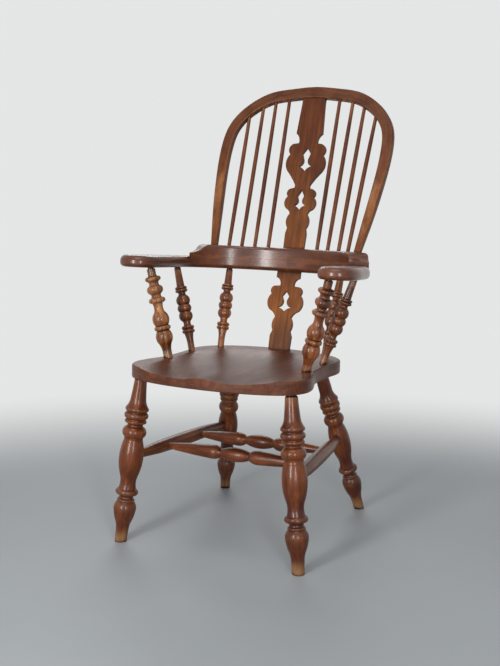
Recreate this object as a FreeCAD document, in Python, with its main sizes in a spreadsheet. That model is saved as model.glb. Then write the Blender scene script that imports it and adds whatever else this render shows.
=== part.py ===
import FreeCAD, Part
import Sketcher
import math
import os
from types import SimpleNamespace

# A high-back broad-arm chair with turned legs, a saddled plank seat, a bow of
# two sawn arms under a raised crest, eight back sticks, two pierced splats and
# a bent hoop. X is across the chair, the sitter faces -Y, Z is up, millimetres.

doc = FreeCAD.newDocument("chair")
sheet = doc.addObject("Spreadsheet::Sheet", "Sizes")

# Clearances shared by every joint of the chair.
FIT_SIZES = {
    "glue_gap": 0.15,
    "bore_end_gap": 1.0,
}

# The seat: a plank that slopes down to the back, with a dished top.
SEAT_SIZES = {
    "seat_front_height": 466,
    "seat_slope": 1.4,
    "seat_thickness": 33,
    "seat_front_reach": 283,
    "seat_front_bow_x": 95,
    "seat_front_bow_y": 277,
    "seat_front_end_x": 160,
    "seat_front_end_y": 262,
    "seat_corner_x": 220,
    "seat_corner_y": 227,
    "seat_wide_half": 241,
    "seat_wide_y": 178,
    "seat_cheek_x": 238,
    "seat_cheek_y": 145,
    "seat_pinch_x": 228,
    "seat_pinch_y": 112,
    "seat_hollow_x": 215,
    "seat_hollow_y": 70,
    "seat_waist_half": 212,
    "seat_waist_y": 25,
    "seat_rear_side_x": 212,
    "seat_rear_side_y": 30,
    "seat_rear_half": 215.5,
    "seat_rear_y": 80,
    "seat_rear_corner_x": 203,
    "seat_rear_corner_y": 126,
    "seat_back_end_x": 170,
    "seat_back_end_y": 160,
    "seat_back_bow_x": 92,
    "seat_back_bow_y": 194,
    "seat_back_reach": 205,
    "seat_top_round": 5,
    "seat_bottom_round": 3,
    "dish_half_width": 186,
    "dish_back_reach": 150,
    "dish_depth": 12,
    "dish_edge_power": 3.2,
    "pommel_half_width": 42,
    "pommel_length": 150,
    "pommel_height": 8,
}

# Where the legs stand and where their centre lines meet the seat's underside.
LEG_PLACES = {
    "front_foot_x": 250,
    "front_foot_y": 245.4,
    "front_top_x": 207.5,
    "front_top_y": 205,
    "back_foot_x": 212.4,
    "back_foot_y": 278.9,
    "back_top_x": 132.9,
    "back_top_y": 154,
}

# The turning of a leg, from the foot up: the length of each element along the
# leg, the radius where it ends and the radius of its belly or hollow.
LEG_SIZES = {
    "leg_foot_r": 15,
    "leg_foot_trim": 8,
    "leg_foot_len": 30,
    "leg_ankle_r": 16.4,
    "leg_shin_len": 22,
    "leg_shin_r": 20,
    "leg_shin_belly": 17.4,
    "leg_bulb_low_len": 38,
    "leg_bulb_r": 29.2,
    "leg_bulb_low_belly": 26.4,
    "leg_bulb_top_len": 18,
    "leg_bulb_end_r": 21.6,
    "leg_bulb_top_belly": 27.4,
    "leg_bead_len": 7,
    "leg_bead_r": 22.6,
    "leg_neck_len": 10,
    "leg_neck_r": 19.4,
    "leg_neck_hollow": 17.6,
    "leg_ring_len": 16,
    "leg_ring_end_r": 22.6,
    "leg_ring_r": 29.4,
    "leg_step_len": 4,
    "leg_step_r": 21.8,
    "leg_vase_foot_len": 33,
    "leg_vase_foot_r": 23.8,
    "leg_vase_foot_hollow": 20.2,
    "leg_vase_low_len": 44,
    "leg_vase_r": 31.4,
    "leg_vase_low_belly": 29.2,
    "leg_vase_top_len": 44,
    "leg_vase_end_r": 25.6,
    "leg_vase_top_belly": 30.2,
    "leg_groove_len": 12,
    "leg_groove_r": 24.8,
    "leg_groove_hollow": 24,
    "leg_ball_len": 26,
    "leg_ball_end_r": 23.8,
    "leg_ball_r": 31,
    "leg_cove_len": 11,
    "leg_cove_hollow": 19.8,
    "leg_low_disc_len": 7,
    "leg_low_disc_r": 26.6,
    "leg_low_disc_belly": 28.2,
    "leg_slit_len": 4.5,
    "leg_slit_r": 25.2,
    "leg_torus_len": 15.5,
    "leg_torus_end_r": 26.4,
    "leg_torus_r": 31,
    "leg_top_slit_len": 4.5,
    "leg_top_slit_r": 25.6,
    "leg_top_disc_len": 9,
    "leg_top_disc_r": 28.2,
    "leg_top_disc_belly": 30.2,
    "leg_cone_len": 21,
    "leg_cone_end_r": 20.2,
    "leg_cone_hollow": 22.6,
    "leg_column_belly": 17.6,
    "leg_top_r": 15.8,
    "leg_shoulder_drop": 8,
    "leg_shoulder_len": 2.5,
    "leg_tenon_r": 13,
    "leg_tenon_len": 22,
    "leg_back_trim": 3.4,
    "leg_back_girth": 0.9,
}

# The stretchers: two from front leg to back leg, two across between those.
STRETCHER_SIZES = {
    "side_front_height": 223,
    "side_back_height": 216,
    "side_end_r": 11,
    "side_quarter_r": 16.6,
    "side_middle_r": 18.2,
    "side_tenon_past_axis": 8,
    "cross_front_y": 82,
    "cross_back_y": 68,
    "cross_end_r": 8.5,
    "cross_tenon_past_axis": 6,
    "cross_taper_belly_r": 14.6,
    "cross_club_r": 18.6,
    "cross_club_round": 24,
    "cross_club_belly": 16.4,
    "cross_pinch_r": 11.2,
    "cross_pinch_len": 3,
    "cross_bead_r": 18.8,
    "cross_bead_half_len": 38.5,
}

# The arm bow: two sawn arms that meet behind the sitter, under a raised crest.
BOW_SIZES = {
    "bow_height": 686.5,
    "bow_slope": 5.4,
    "arm_thickness": 31.5,
    "crest_thickness": 33,
    "bow_inner_back_y": 232,
    "bow_inner_bow_x": 62,
    "bow_inner_bow_y": 227.5,
    "bow_inner_bend_x": 120,
    "bow_inner_bend_y": 212,
    "bow_inner_turn_x": 194,
    "bow_inner_turn_y": 164,
    "crest_corner_x": 232,
    "crest_corner_y": 93,
    "arm_inner_mid_x": 231,
    "arm_inner_mid_y": 10,
    "paddle_inner_x": 229,
    "paddle_inner_y": 85,
    "paddle_near_x": 239,
    "paddle_near_y": 130,
    "paddle_tip_x": 277,
    "paddle_tip_y": 148,
    "paddle_far_x": 313,
    "paddle_far_y": 132,
    "paddle_outer_x": 325,
    "paddle_outer_y": 97,
    "arm_outer_x": 318,
    "arm_outer_y": 20,
    "bow_outer_side_x": 303,
    "bow_outer_side_y": 58,
    "bow_outer_hip_x": 277,
    "bow_outer_hip_y": 130,
    "bow_outer_turn_x": 245,
    "bow_outer_turn_y": 194,
    "bow_outer_bend_x": 200,
    "bow_outer_bend_y": 245,
    "bow_outer_bow_x": 105,
    "bow_outer_bow_y": 297,
    "bow_outer_back_y": 312,
    "arm_top_round": 16,
    "arm_bottom_round": 11,
    "crest_top_round": 9,
    "crest_end_angle": 61,
    "crest_ogee_len": 74,
    "crest_ogee_outer_len": 48,
    "crest_ogee_mid_height": 19,
    "crest_lip": 9,
}

# The six arm supports: centre lines from the seat's top to the arm's underside.
SUPPORT_PLACES = {
    "front_support_x": 195.5,
    "front_support_y": 87.6,
    "front_support_top_x": 250.5,
    "front_support_top_y": 82.2,
    "middle_support_x": 190.8,
    "middle_support_y": 33.8,
    "middle_support_top_x": 258.1,
    "middle_support_top_y": 72.9,
    "back_support_x": 155,
    "back_support_y": 133.9,
    "back_support_top_x": 167.8,
    "back_support_top_y": 214.2,
    "support_seat_tenon": 18,
    "support_shoulder_drop": 4,
    "support_arm_tenon_r": 8,
    "wedge_length": 15,
    "wedge_thick": 2.4,
    "wedge_tip": 0.6,
}

# The turning of a front arm support, from the seat up.
FRONT_SUPPORT_SIZES = {
    "post_foot_r": 12,
    "post_foot_len": 18,
    "post_flare_len": 20,
    "post_flare_r": 17,
    "post_flare_hollow": 13.4,
    "post_low_vase_len": 34,
    "post_low_vase_end_r": 16.2,
    "post_low_vase_r": 22.4,
    "post_low_ring_len": 13,
    "post_low_ring_end_r": 16.4,
    "post_low_ring_r": 21.8,
    "post_vase_len": 36,
    "post_vase_end_r": 17,
    "post_vase_r": 22.2,
    "post_neck_len": 24,
    "post_neck_r": 14,
    "post_neck_hollow": 11.8,
    "post_disc_len": 14,
    "post_disc_end_r": 15,
    "post_disc_r": 22,
    "post_bell_foot_len": 11,
    "post_bell_foot_r": 15.6,
    "post_bell_foot_hollow": 12.6,
    "post_bell_len": 21,
    "post_bell_end_r": 14.2,
    "post_bell_r": 21.4,
    "post_cap_foot_len": 12,
    "post_cap_foot_r": 16,
    "post_cap_foot_hollow": 12.6,
    "post_cap_len": 12,
    "post_cap_end_r": 13.6,
    "post_cap_r": 20.8,
    "post_top_r": 11,
}

# The turning of the slimmer middle and back supports, from the seat up.
SLIM_SUPPORT_SIZES = {
    "slim_foot_r": 9,
    "slim_foot_len": 20,
    "slim_flare_len": 30,
    "slim_flare_r": 12.8,
    "slim_flare_hollow": 9.8,
    "slim_low_ring_len": 9,
    "slim_low_ring_end_r": 14.6,
    "slim_low_ring_r": 17.4,
    "slim_ring_gap_len": 1.5,
    "slim_low_neck_len": 13,
    "slim_low_neck_r": 11.2,
    "slim_low_neck_hollow": 9.8,
    "slim_low_ball_len": 26,
    "slim_low_ball_end_r": 14.6,
    "slim_low_ball_r": 18.8,
    "slim_mid_ball_len": 20,
    "slim_mid_ball_r": 19.2,
    "slim_top_ball_len": 26,
    "slim_top_ball_end_r": 11.4,
    "slim_top_ball_r": 19,
    "slim_top_neck_len": 9,
    "slim_top_neck_hollow": 9.8,
    "slim_top_ring_len": 8,
    "slim_top_ring_end_r": 13.6,
    "slim_top_ring_r": 17,
    "slim_collar_len": 7,
    "slim_collar_r": 16.4,
    "slim_shaft_low_r": 11,
    "slim_shaft_hollow": 9.8,
    "slim_top_r": 9.2,
}

# The hoop lies in a plane that leans back, from a line sunk below the crest's top.
# Across and up along that plane.
HOOP_SIZES = {
    "hoop_sink": 33,
    "hoop_foot_y": 195.2,
    "hoop_lean": 26.6,
    "hoop_thickness": 19,
    "hoop_foot_thickness": 15,
    "hoop_thin_up_to": 200,
    "hoop_top_up": 526,
    "hoop_crown_half": 74,
    "hoop_crown_up": 519.5,
    "hoop_bend_half": 133,
    "hoop_bend_up": 509,
    "hoop_shoulder_half": 184,
    "hoop_shoulder_up": 482,
    "hoop_turn_half": 224,
    "hoop_turn_up": 445,
    "hoop_corner_half": 248,
    "hoop_corner_up": 404,
    "hoop_widest_half": 258.5,
    "hoop_widest_up": 340,
    "hoop_side_half": 253,
    "hoop_side_up": 235,
    "hoop_thigh_half": 240,
    "hoop_thigh_up": 132,
    "hoop_base_half": 221.5,
    "hoop_base_up": 22,
    "hoop_width": 33.5,
    "hoop_side_width": 31.5,
    "hoop_base_width": 18.5,
    "hoop_edge_round": 4,
    "hoop_tenon_r": 6.5,
    "hoop_tenon_len": 46,
}

# The back sticks, four a side, from the crest to the hoop.
STICK_SIZES = {
    "stick_foot_r": 5.2,
    "stick_belly_r": 6,
    "stick_top_r": 4.8,
    "stick_foot_tenon": 18,
    "stick_top_tenon": 13,
    "stick_1_x": 178.8,
    "stick_1_inset": 29.85,
    "stick_1_top_half": 192.9,
    "stick_1_top_up": 434,
    "stick_2_x": 146.1,
    "stick_2_inset": 33.76,
    "stick_2_top_half": 154.3,
    "stick_2_top_up": 464,
    "stick_3_x": 110.2,
    "stick_3_inset": 39.11,
    "stick_3_top_half": 117.6,
    "stick_3_top_up": 477.5,
    "stick_4_x": 73.9,
    "stick_4_inset": 36.38,
    "stick_4_top_half": 77,
    "stick_4_top_up": 486,
}

# The pierced splats. Heights run up the splat from where it meets the seat or
# the crest; half widths run out from its centre line.
SPLAT_SIZES = {
    "splat_thickness": 10,
    "splat_tenon_inset": 4,
    "splat_tenon_len": 14,
    "lower_splat_y": 186,
    "lower_splat_top_inset": 19,
    "upper_splat_inset": 32.5,
    "upper_splat_top_y": 413.5,
    "upper_splat_top_tenon": 10,
}

# One pierced figure of a splat: waist, lobes, ears and the key-shaped opening.
LOWER_SPLAT_SIZES = {
    "low_drawn_len": 218.15,
    "low_base_half": 30.5,
    "low_bump_half": 31.8,
    "low_bump_up": 36,
    "low_nick_half": 26,
    "low_nick_up": 51,
    "low_bulge_half": 30.4,
    "low_bulge_up": 68,
    "low_waist_half": 23.7,
    "low_waist_up": 88,
    "low_hip_half": 42,
    "low_hip_up": 107,
    "low_hip_mid_half": 30.5,
    "low_hip_mid_up": 99.5,
    "low_lobe_half": 52.6,
    "low_lobe_up": 129,
    "low_notch_half": 43,
    "low_notch_up": 153,
    "low_ear_half": 46.5,
    "low_ear_up": 165,
    "low_ear_end_half": 38,
    "low_ear_end_up": 175.5,
    "low_cove_half": 20.5,
    "low_cove_up": 177,
    "low_cove_mid_half": 22.4,
    "low_cove_mid_up": 191,
    "low_plank_half": 34.5,
    "low_plank_up": 200,
    "low_star_bottom_up": 103,
    "low_star_low_half": 8,
    "low_star_low_up": 111.5,
    "low_star_half": 23,
    "low_star_up": 116.5,
    "low_star_high_half": 8.5,
    "low_star_high_up": 124,
    "low_neck_half": 6,
    "low_neck_up": 136,
    "low_diamond_half": 11,
    "low_diamond_up": 147.5,
    "low_key_top_up": 163,
}

UPPER_SPLAT_SIZES = {
    "up_drawn_len": 437.07,
    "up_base_half": 30.3,
    "up_bump_half": 31.4,
    "up_bump_up": 42,
    "up_nick_half": 27.8,
    "up_nick_up": 58,
    "up_bulge_half": 34.2,
    "up_bulge_up": 77,
    "up_waist_half": 26.4,
    "up_waist_up": 98,
    "up_hip_half": 38,
    "up_hip_up": 112,
    "up_hip_mid_half": 30.5,
    "up_hip_mid_up": 107,
    "up_lobe_half": 47.2,
    "up_lobe_up": 130,
    "up_notch_half": 39,
    "up_notch_up": 148,
    "up_ear_half": 42.8,
    "up_ear_up": 161,
    "up_ear_end_half": 33,
    "up_ear_end_up": 171,
    "up_star_bottom_up": 107,
    "up_star_low_half": 8,
    "up_star_low_up": 119,
    "up_star_half": 22.5,
    "up_star_up": 124,
    "up_star_high_half": 8.5,
    "up_star_high_up": 129.5,
    "up_neck_half": 6.6,
    "up_neck_up": 139.5,
    "up_diamond_half": 10.5,
    "up_diamond_up": 150,
    "up_key_top_up": 169,
    "top_waist_half": 22,
    "top_waist_up": 174,
    "top_waist_end_up": 182,
    "top_hip_half": 50,
    "top_hip_up": 220,
    "top_hip_mid_half": 35.2,
    "top_hip_mid_up": 202,
    "top_lobe_half": 59.4,
    "top_lobe_up": 245,
    "top_notch_half": 49.4,
    "top_notch_up": 271,
    "top_ear_half": 55.4,
    "top_ear_up": 286,
    "top_ear_end_half": 43,
    "top_ear_end_up": 302,
    "top_cove_half": 28,
    "top_cove_up": 304,
    "top_cove_mid_half": 30.4,
    "top_cove_mid_up": 322,
    "top_plank_half": 39.5,
    "top_plank_up": 332,
    "top_end_half": 34.5,
    "top_star_bottom_up": 220,
    "top_star_low_half": 9,
    "top_star_low_up": 232,
    "top_star_half": 26.5,
    "top_star_up": 237,
    "top_star_high_half": 9.5,
    "top_star_high_up": 243.5,
    "top_neck_half": 7.2,
    "top_neck_up": 257,
    "top_diamond_half": 12.5,
    "top_diamond_up": 273,
    "top_key_top_up": 291,
}

# Hidden dowels: crest to arms, and arm to arm behind the sitter.
DOWEL_SIZES = {
    "crest_dowel_r": 4.5,
    "crest_dowel_depth": 20,
    "crest_dowel_near_x": 92,
    "crest_dowel_near_y": 262,
    "crest_dowel_far_x": 228,
    "crest_dowel_far_y": 152,
    "arm_dowel_r": 5,
    "arm_dowel_depth": 30,
    "arm_dowel_height": 17,
    "arm_dowel_front_inset": 10,
    "arm_dowel_back_inset": 16,
}

SIZE_GROUPS = (
    FIT_SIZES, SEAT_SIZES, LEG_PLACES, LEG_SIZES, STRETCHER_SIZES, BOW_SIZES,
    SUPPORT_PLACES, FRONT_SUPPORT_SIZES, SLIM_SUPPORT_SIZES, HOOP_SIZES,
    STICK_SIZES, SPLAT_SIZES, LOWER_SPLAT_SIZES, UPPER_SPLAT_SIZES, DOWEL_SIZES,
)


class Size:
    """A number together with the spreadsheet expression that gives it."""

    def __init__(self, value, text):
        self.value = float(value)
        self.text = text

    def combined(self, other, sign, value):
        return Size(value, "(" + self.text + " " + sign + " " + as_size(other).text + ")")

    def __add__(self, other):
        return self.combined(other, "+", self.value + as_size(other).value)

    def __sub__(self, other):
        return self.combined(other, "-", self.value - as_size(other).value)

    def __mul__(self, other):
        return self.combined(other, "*", self.value * as_size(other).value)

    def __truediv__(self, other):
        return self.combined(other, "/", self.value / as_size(other).value)

    def __neg__(self):
        return Size(-self.value, "(-1 * " + self.text + ")")


def as_size(quantity):
    if isinstance(quantity, Size):
        return quantity
    return Size(quantity, repr(float(quantity)))


def fill_sheet():
    """Write every driving size to the sheet and return them as Size objects."""
    sizes = SimpleNamespace()
    row = 0
    for group in SIZE_GROUPS:
        for name, value in group.items():
            row += 1
            sheet.set("A" + str(row), name)
            sheet.set("B" + str(row), str(value))
            sheet.setAlias("B" + str(row), name)
            setattr(sizes, name, Size(value, "Sizes." + name))
    doc.recompute()
    return sizes


d = fill_sheet()
ORIGIN = as_size(0)


# Sketches and bodies

def bind(thing, path, size):
    """Give a property its size and tie it to the sheet."""
    setattr(thing, path, size.value)
    thing.setExpression(path, size.text)


def origin_feature(body, role):
    for feature in body.Origin.OriginFeatures:
        if feature.Role == role:
            return feature


def outline_sketch(body, plane, corners):
    """A closed outline. Each corner is (across, up), or (across, up, belly across,
    belly up) where an arc through the belly point leads to it from the last corner."""
    sketch = body.newObject("Sketcher::SketchObject", "Outline")
    sketch.AttachmentSupport = [(origin_feature(body, plane), "")]
    sketch.MapMode = "FlatFace"
    corners = [tuple(as_size(part) for part in corner) for corner in corners]
    ends = [FreeCAD.Vector(corner[0].value, corner[1].value, 0) for corner in corners]
    shapes = []
    start_of = []
    bellies = []
    for index, corner in enumerate(corners):
        start = ends[index - 1]
        end = ends[index]
        if len(corner) == 2:
            shapes.append(Part.LineSegment(start, end))
            start_of.append(1)
            continue
        belly = FreeCAD.Vector(corner[2].value, corner[3].value, 0)
        turns_left = (belly - start).cross(end - belly).z > 0
        if turns_left:
            shapes.append(Part.Arc(start, belly, end))
        else:
            shapes.append(Part.Arc(end, belly, start))
        start_of.append(1 if turns_left else 2)
        bellies.append((index, corner[2], corner[3], belly))
    sketch.addGeometry(shapes, False)
    constraints = []
    bound = []
    for index, corner in enumerate(corners):
        previous = index - 1 if index else len(corners) - 1
        start_point = start_of[index]
        previous_end = 3 - start_of[previous]
        constraints.append(Sketcher.Constraint("Coincident", previous, previous_end, index, start_point))
        end_point = 3 - start_point
        add_place(constraints, bound, index, end_point, corner[0], corner[1])
    for index, across, up, point in bellies:
        mark = sketch.addGeometry(Part.Point(point), True)
        constraints.append(Sketcher.Constraint("PointOnObject", mark, 1, index))
        add_place(constraints, bound, mark, 1, across, up)
    sketch.addConstraint(constraints)
    for number, size in bound:
        sketch.setExpression("Constraints[" + str(number) + "]", size.text)
    return sketch


def add_place(constraints, bound, shape, point, across, up):
    """Hold a point at its distances from the sketch's origin."""
    for kind, axis, size in (("DistanceX", -2, across), ("DistanceY", -1, up)):
        if size is ORIGIN:
            constraints.append(Sketcher.Constraint("PointOnObject", shape, point, axis))
        else:
            bound.append((len(constraints), size))
            constraints.append(Sketcher.Constraint(kind, -1, 1, shape, point, size.value))


def spline_through(run):
    """A smooth curve through a run of points, level where it meets the centre plane."""
    points = [FreeCAD.Vector(as_size(across).value, as_size(up).value, 0) for across, up in run]
    reach = [0.0]
    for last, point in zip(points, points[1:]):
        reach.append(reach[-1] + (point - last).Length)
    first_way = (points[1] - points[0]).normalize()
    last_way = (points[-1] - points[-2]).normalize()
    if abs(points[0].x) < 0.001:
        first_way = FreeCAD.Vector(1, 0, 0)
    if abs(points[-1].x) < 0.001:
        last_way = FreeCAD.Vector(-1, 0, 0)
    curve = Part.BSplineCurve()
    curve.interpolate(Points=points, Parameters=reach, InitialTangent=first_way,
                      FinalTangent=last_way, Scale=False)
    return curve


def smooth_sketch(body, plane, runs):
    """A closed outline of smooth curves, each joined to the next by a straight line."""
    sketch = body.newObject("Sketcher::SketchObject", "Outline")
    sketch.AttachmentSupport = [(origin_feature(body, plane), "")]
    sketch.MapMode = "FlatFace"
    curves = [spline_through(run) for run in runs]
    numbers = sketch.addGeometry(curves, False)
    if isinstance(numbers, int):
        numbers = (numbers,)
    constraints = [Sketcher.Constraint("Block", number) for number in numbers]
    for index, number in enumerate(numbers):
        following = (index + 1) % len(numbers)
        start = curves[index].EndPoint
        end = curves[following].StartPoint
        line = sketch.addGeometry(Part.LineSegment(start, end), False)
        constraints.append(Sketcher.Constraint("Coincident", line, 1, number, 2))
        constraints.append(Sketcher.Constraint("Coincident", line, 2, numbers[following], 1))
    sketch.addConstraint(constraints)
    return sketch


def new_body(name):
    return doc.addObject("PartDesign::Body", name)


def padded_body(name, plane, corners, length, mirrored=False, smooth=False):
    """A sawn piece: an outline padded to a thickness, doubled across X if asked."""
    body = new_body(name)
    sketch = smooth_sketch(body, plane, corners) if smooth else outline_sketch(body, plane, corners)
    pad = body.newObject("PartDesign::Pad", "Thickness")
    pad.Profile = sketch
    bind(pad, "Length", length)
    if mirrored:
        mirror = body.newObject("PartDesign::Mirrored", "BothSides")
        mirror.Originals = [pad]
        mirror.MirrorPlane = (origin_feature(body, "YZ_Plane"), [""])
        body.Tip = mirror
    return body


def turned_body(name, bottom, first_radius, elements, top):
    """A turned piece about local Z. Each element is (length, end radius) or (length,
    end radius, belly radius); a length of None runs on to the height top."""
    body = new_body(name)
    height = as_size(bottom)
    corners = [(ORIGIN, height), (first_radius, height)]
    for element in elements:
        last = height
        if element[0] is None:
            height = top
        else:
            height = height + element[0]
        if len(element) == 2:
            corners.append((element[1], height))
        else:
            corners.append((element[1], height, element[2], (last + height) / 2))
    corners.append((ORIGIN, height))
    sketch = outline_sketch(body, "XZ_Plane", corners)
    turning = body.newObject("PartDesign::Revolution", "Turning")
    turning.Profile = sketch
    turning.ReferenceAxis = (sketch, ["V_Axis"])
    turning.Angle = 360
    return body


# Frames of the chair's parts. Depths in the sheet are measured from one plane;
# the whole chair is moved so that it stands centred over the origin.

hoop_lean = math.radians(d.hoop_lean.value)
hoop_up = FreeCAD.Vector(0, math.sin(hoop_lean), math.cos(hoop_lean))
hoop_normal = FreeCAD.Vector(0, math.cos(hoop_lean), -math.sin(hoop_lean))
seat_slope = math.radians(d.seat_slope.value)
bow_slope = math.radians(d.bow_slope.value)
rear_reach = d.hoop_foot_y.value + d.hoop_top_up.value * hoop_up.y + d.hoop_thickness.value / 2 * hoop_normal.y
front_reach = d.seat_front_reach.value * math.cos(seat_slope) + d.seat_thickness.value * math.sin(seat_slope)
centre_shift = FreeCAD.Vector(0, (front_reach - rear_reach) / 2, 0)


def place(x, y, z):
    """A point of the chair, from its depth plane to the centred frame."""
    return FreeCAD.Vector(x, y, z) + centre_shift


def tilted_frame(height, slope):
    """A plane that falls towards the back, with its origin on the centre plane."""
    return FreeCAD.Placement(place(0, 0, height), FreeCAD.Rotation(FreeCAD.Vector(1, 0, 0), -math.degrees(slope)))


def axis_frame(start, end):
    """Local Z runs from start to end, and local X stays as level as it can."""
    along = (end - start).normalize()
    return FreeCAD.Placement(start, FreeCAD.Rotation(FreeCAD.Vector(1, 0, 0), FreeCAD.Vector(), along, "ZXY"))


seat_height_at_zero = d.seat_front_height.value - d.seat_front_reach.value * math.tan(seat_slope)
SEAT_FRAME = tilted_frame(seat_height_at_zero, seat_slope)
BOW_FRAME = tilted_frame(d.bow_height.value, bow_slope)


def seat_point(x, y, depth=0.0):
    """A point of the seat's flat top, or that far below it, over a plan position."""
    height = seat_height_at_zero - y * math.tan(seat_slope) - depth / math.cos(seat_slope)
    return place(x, y, height)


def bow_point(x, y, rise=0.0):
    """A point of the arms' underside, or that far above it, over a plan position."""
    height = d.bow_height.value - y * math.tan(bow_slope) + rise / math.cos(bow_slope)
    return place(x, y, height)


bow_rise = d.arm_thickness + d.glue_gap + d.crest_thickness


def hoop_point(half, up, out=0.0):
    """A point of the hoop's middle plane, or that far behind it."""
    base = bow_point(half, d.hoop_foot_y.value, bow_rise.value) - FreeCAD.Vector(0, 0, d.hoop_sink.value)
    return base + hoop_up * up + hoop_normal * out


# Small helpers for cutting joints

def cylinder(name, radius, length, frame, start=0.0):
    """A round tool or pin along the frame's Z, from the height start."""
    tool = doc.addObject("Part::Cylinder", name)
    bind(tool, "Radius", as_size(radius))
    bind(tool, "Height", as_size(length))
    tool.Placement = frame.multiply(FreeCAD.Placement(FreeCAD.Vector(0, 0, start), FreeCAD.Rotation()))
    return tool


def block(name, width, depth, height, frame):
    """A box centred on the frame's X and Y, standing on its Z."""
    tool = doc.addObject("Part::Box", name)
    bind(tool, "Length", as_size(width))
    bind(tool, "Width", as_size(depth))
    bind(tool, "Height", as_size(height))
    corner = FreeCAD.Vector(-as_size(width).value / 2, -as_size(depth).value / 2, 0)
    tool.Placement = frame.multiply(FreeCAD.Placement(corner, FreeCAD.Rotation()))
    return tool


def fused(name, pieces):
    fusion = doc.addObject("Part::MultiFuse", name)
    fusion.Shapes = pieces
    return fusion


def cut(name, base, tools):
    """A finished piece: base less its tools, which are joined first."""
    tool = tools[0] if len(tools) == 1 else fused(name + "_cuts", tools)
    result = doc.addObject("Part::Cut", name)
    result.Base = base
    result.Tool = tool
    return result


def common(name, base, tool):
    result = doc.addObject("Part::Common", name)
    result.Base = base
    result.Tool = tool
    return result


def mirrored(name, source):
    """The piece of the other side of the chair."""
    result = doc.addObject("Part::Mirroring", name)
    result.Source = source
    result.Base = FreeCAD.Vector(0, 0, 0)
    result.Normal = FreeCAD.Vector(1, 0, 0)
    return result


def rounded(name, base, radius_of):
    """Fillet each edge for which radius_of gives a radius."""
    doc.recompute()
    edges = []
    for number, edge in enumerate(base.Shape.Edges, 1):
        radius = radius_of(edge)
        if radius:
            edges.append((number, radius, radius))
    result = doc.addObject("Part::Fillet", name)
    result.Base = base
    result.Edges = edges
    return result


def flat_edge_at(edge, frame, height):
    """True where all of an edge lies at one height of a frame."""
    inverse = frame.inverse()
    points = [edge.valueAt(edge.FirstParameter), edge.valueAt(edge.LastParameter)]
    points.append(edge.valueAt((edge.FirstParameter + edge.LastParameter) / 2))
    return all(abs(inverse.multVec(point).z - height) < 0.001 for point in points)


parts = {}


def keep(name, thing):
    thing.Label = name
    parts[name] = thing


# Legs

LEG_TURNING = (
    (d.leg_foot_len, d.leg_ankle_r),
    (d.leg_shin_len, d.leg_shin_r, d.leg_shin_belly),
    (d.leg_bulb_low_len, d.leg_bulb_r, d.leg_bulb_low_belly),
    (d.leg_bulb_top_len, d.leg_bulb_end_r, d.leg_bulb_top_belly),
    (d.leg_bead_len, d.leg_neck_r, d.leg_bead_r),
    (d.leg_neck_len, d.leg_neck_r, d.leg_neck_hollow),
    (0, d.leg_ring_end_r),
    (d.leg_ring_len, d.leg_ring_end_r, d.leg_ring_r),
    (d.leg_step_len, d.leg_step_r),
    (d.leg_vase_foot_len, d.leg_vase_foot_r, d.leg_vase_foot_hollow),
    (d.leg_vase_low_len, d.leg_vase_r, d.leg_vase_low_belly),
    (d.leg_vase_top_len, d.leg_vase_end_r, d.leg_vase_top_belly),
    (d.leg_groove_len, d.leg_groove_r, d.leg_groove_hollow),
    (d.leg_ball_len, d.leg_ball_end_r, d.leg_ball_r),
    (d.leg_cove_len, d.leg_ball_end_r, d.leg_cove_hollow),
    (0, d.leg_low_disc_r),
    (d.leg_low_disc_len, d.leg_low_disc_r, d.leg_low_disc_belly),
    (d.leg_slit_len, d.leg_torus_end_r, d.leg_slit_r),
    (d.leg_torus_len, d.leg_torus_end_r, d.leg_torus_r),
    (d.leg_top_slit_len, d.leg_top_disc_r, d.leg_top_slit_r),
    (d.leg_top_disc_len, d.leg_top_disc_r, d.leg_top_disc_belly),
    (d.leg_cone_len, d.leg_cone_end_r, d.leg_cone_hollow),
)


def leg_axis(foot_x, foot_y, top_x, top_y):
    """Centre line of a right-hand leg, from the floor to the seat's underside."""
    foot = place(foot_x, foot_y, 0)
    top = seat_point(top_x, top_y, d.seat_thickness.value)
    return foot, top


front_leg_axis = leg_axis(d.front_foot_x.value, -d.front_foot_y.value, d.front_top_x.value, -d.front_top_y.value)
back_leg_axis = leg_axis(d.back_foot_x.value, d.back_foot_y.value, d.back_top_x.value, d.back_top_y.value)


def leg_blank(name, axis, foot_cut, girth):
    """The turned leg, its radii times its girth, with its foot round below the floor."""
    foot, top = axis
    length = (top - foot).Length
    trim = as_size(0) - d.leg_foot_trim
    foot_len = d.leg_foot_len + d.leg_foot_trim - foot_cut
    turning = ((foot_len, d.leg_ankle_r),) + LEG_TURNING[1:]
    column = Size(length, repr(length)) - d.leg_shoulder_drop
    used = trim + foot_len
    for element in LEG_TURNING[1:]:
        used = used + element[0]
    column_middle = (used + column) / 2
    shoulder = column + d.leg_shoulder_len
    tenon_top = shoulder + d.leg_tenon_len
    body = new_body(name + "_turning")
    height = trim
    corners = [(ORIGIN, height), (d.leg_foot_r * girth, height)]
    for element in turning:
        last = height
        height = height + element[0]
        if len(element) == 2:
            corners.append((element[1] * girth, height))
        else:
            corners.append((element[1] * girth, height, element[2] * girth, (last + height) / 2))
    corners.append((d.leg_top_r, column, d.leg_column_belly, column_middle))
    corners.append((d.leg_tenon_r, shoulder))
    corners.append((d.leg_tenon_r, tenon_top))
    corners.append((ORIGIN, tenon_top))
    sketch = outline_sketch(body, "XZ_Plane", corners)
    turning_feature = body.newObject("PartDesign::Revolution", "Turning")
    turning_feature.Profile = sketch
    turning_feature.ReferenceAxis = (sketch, ["V_Axis"])
    turning_feature.Angle = 360
    body.Placement = axis_frame(foot, top)
    return body, tenon_top.value


def on_axis(axis, height):
    """The point of a leg's centre line at a height over the floor."""
    foot, top = axis
    share = height / top.z
    return foot + (top - foot) * share


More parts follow.
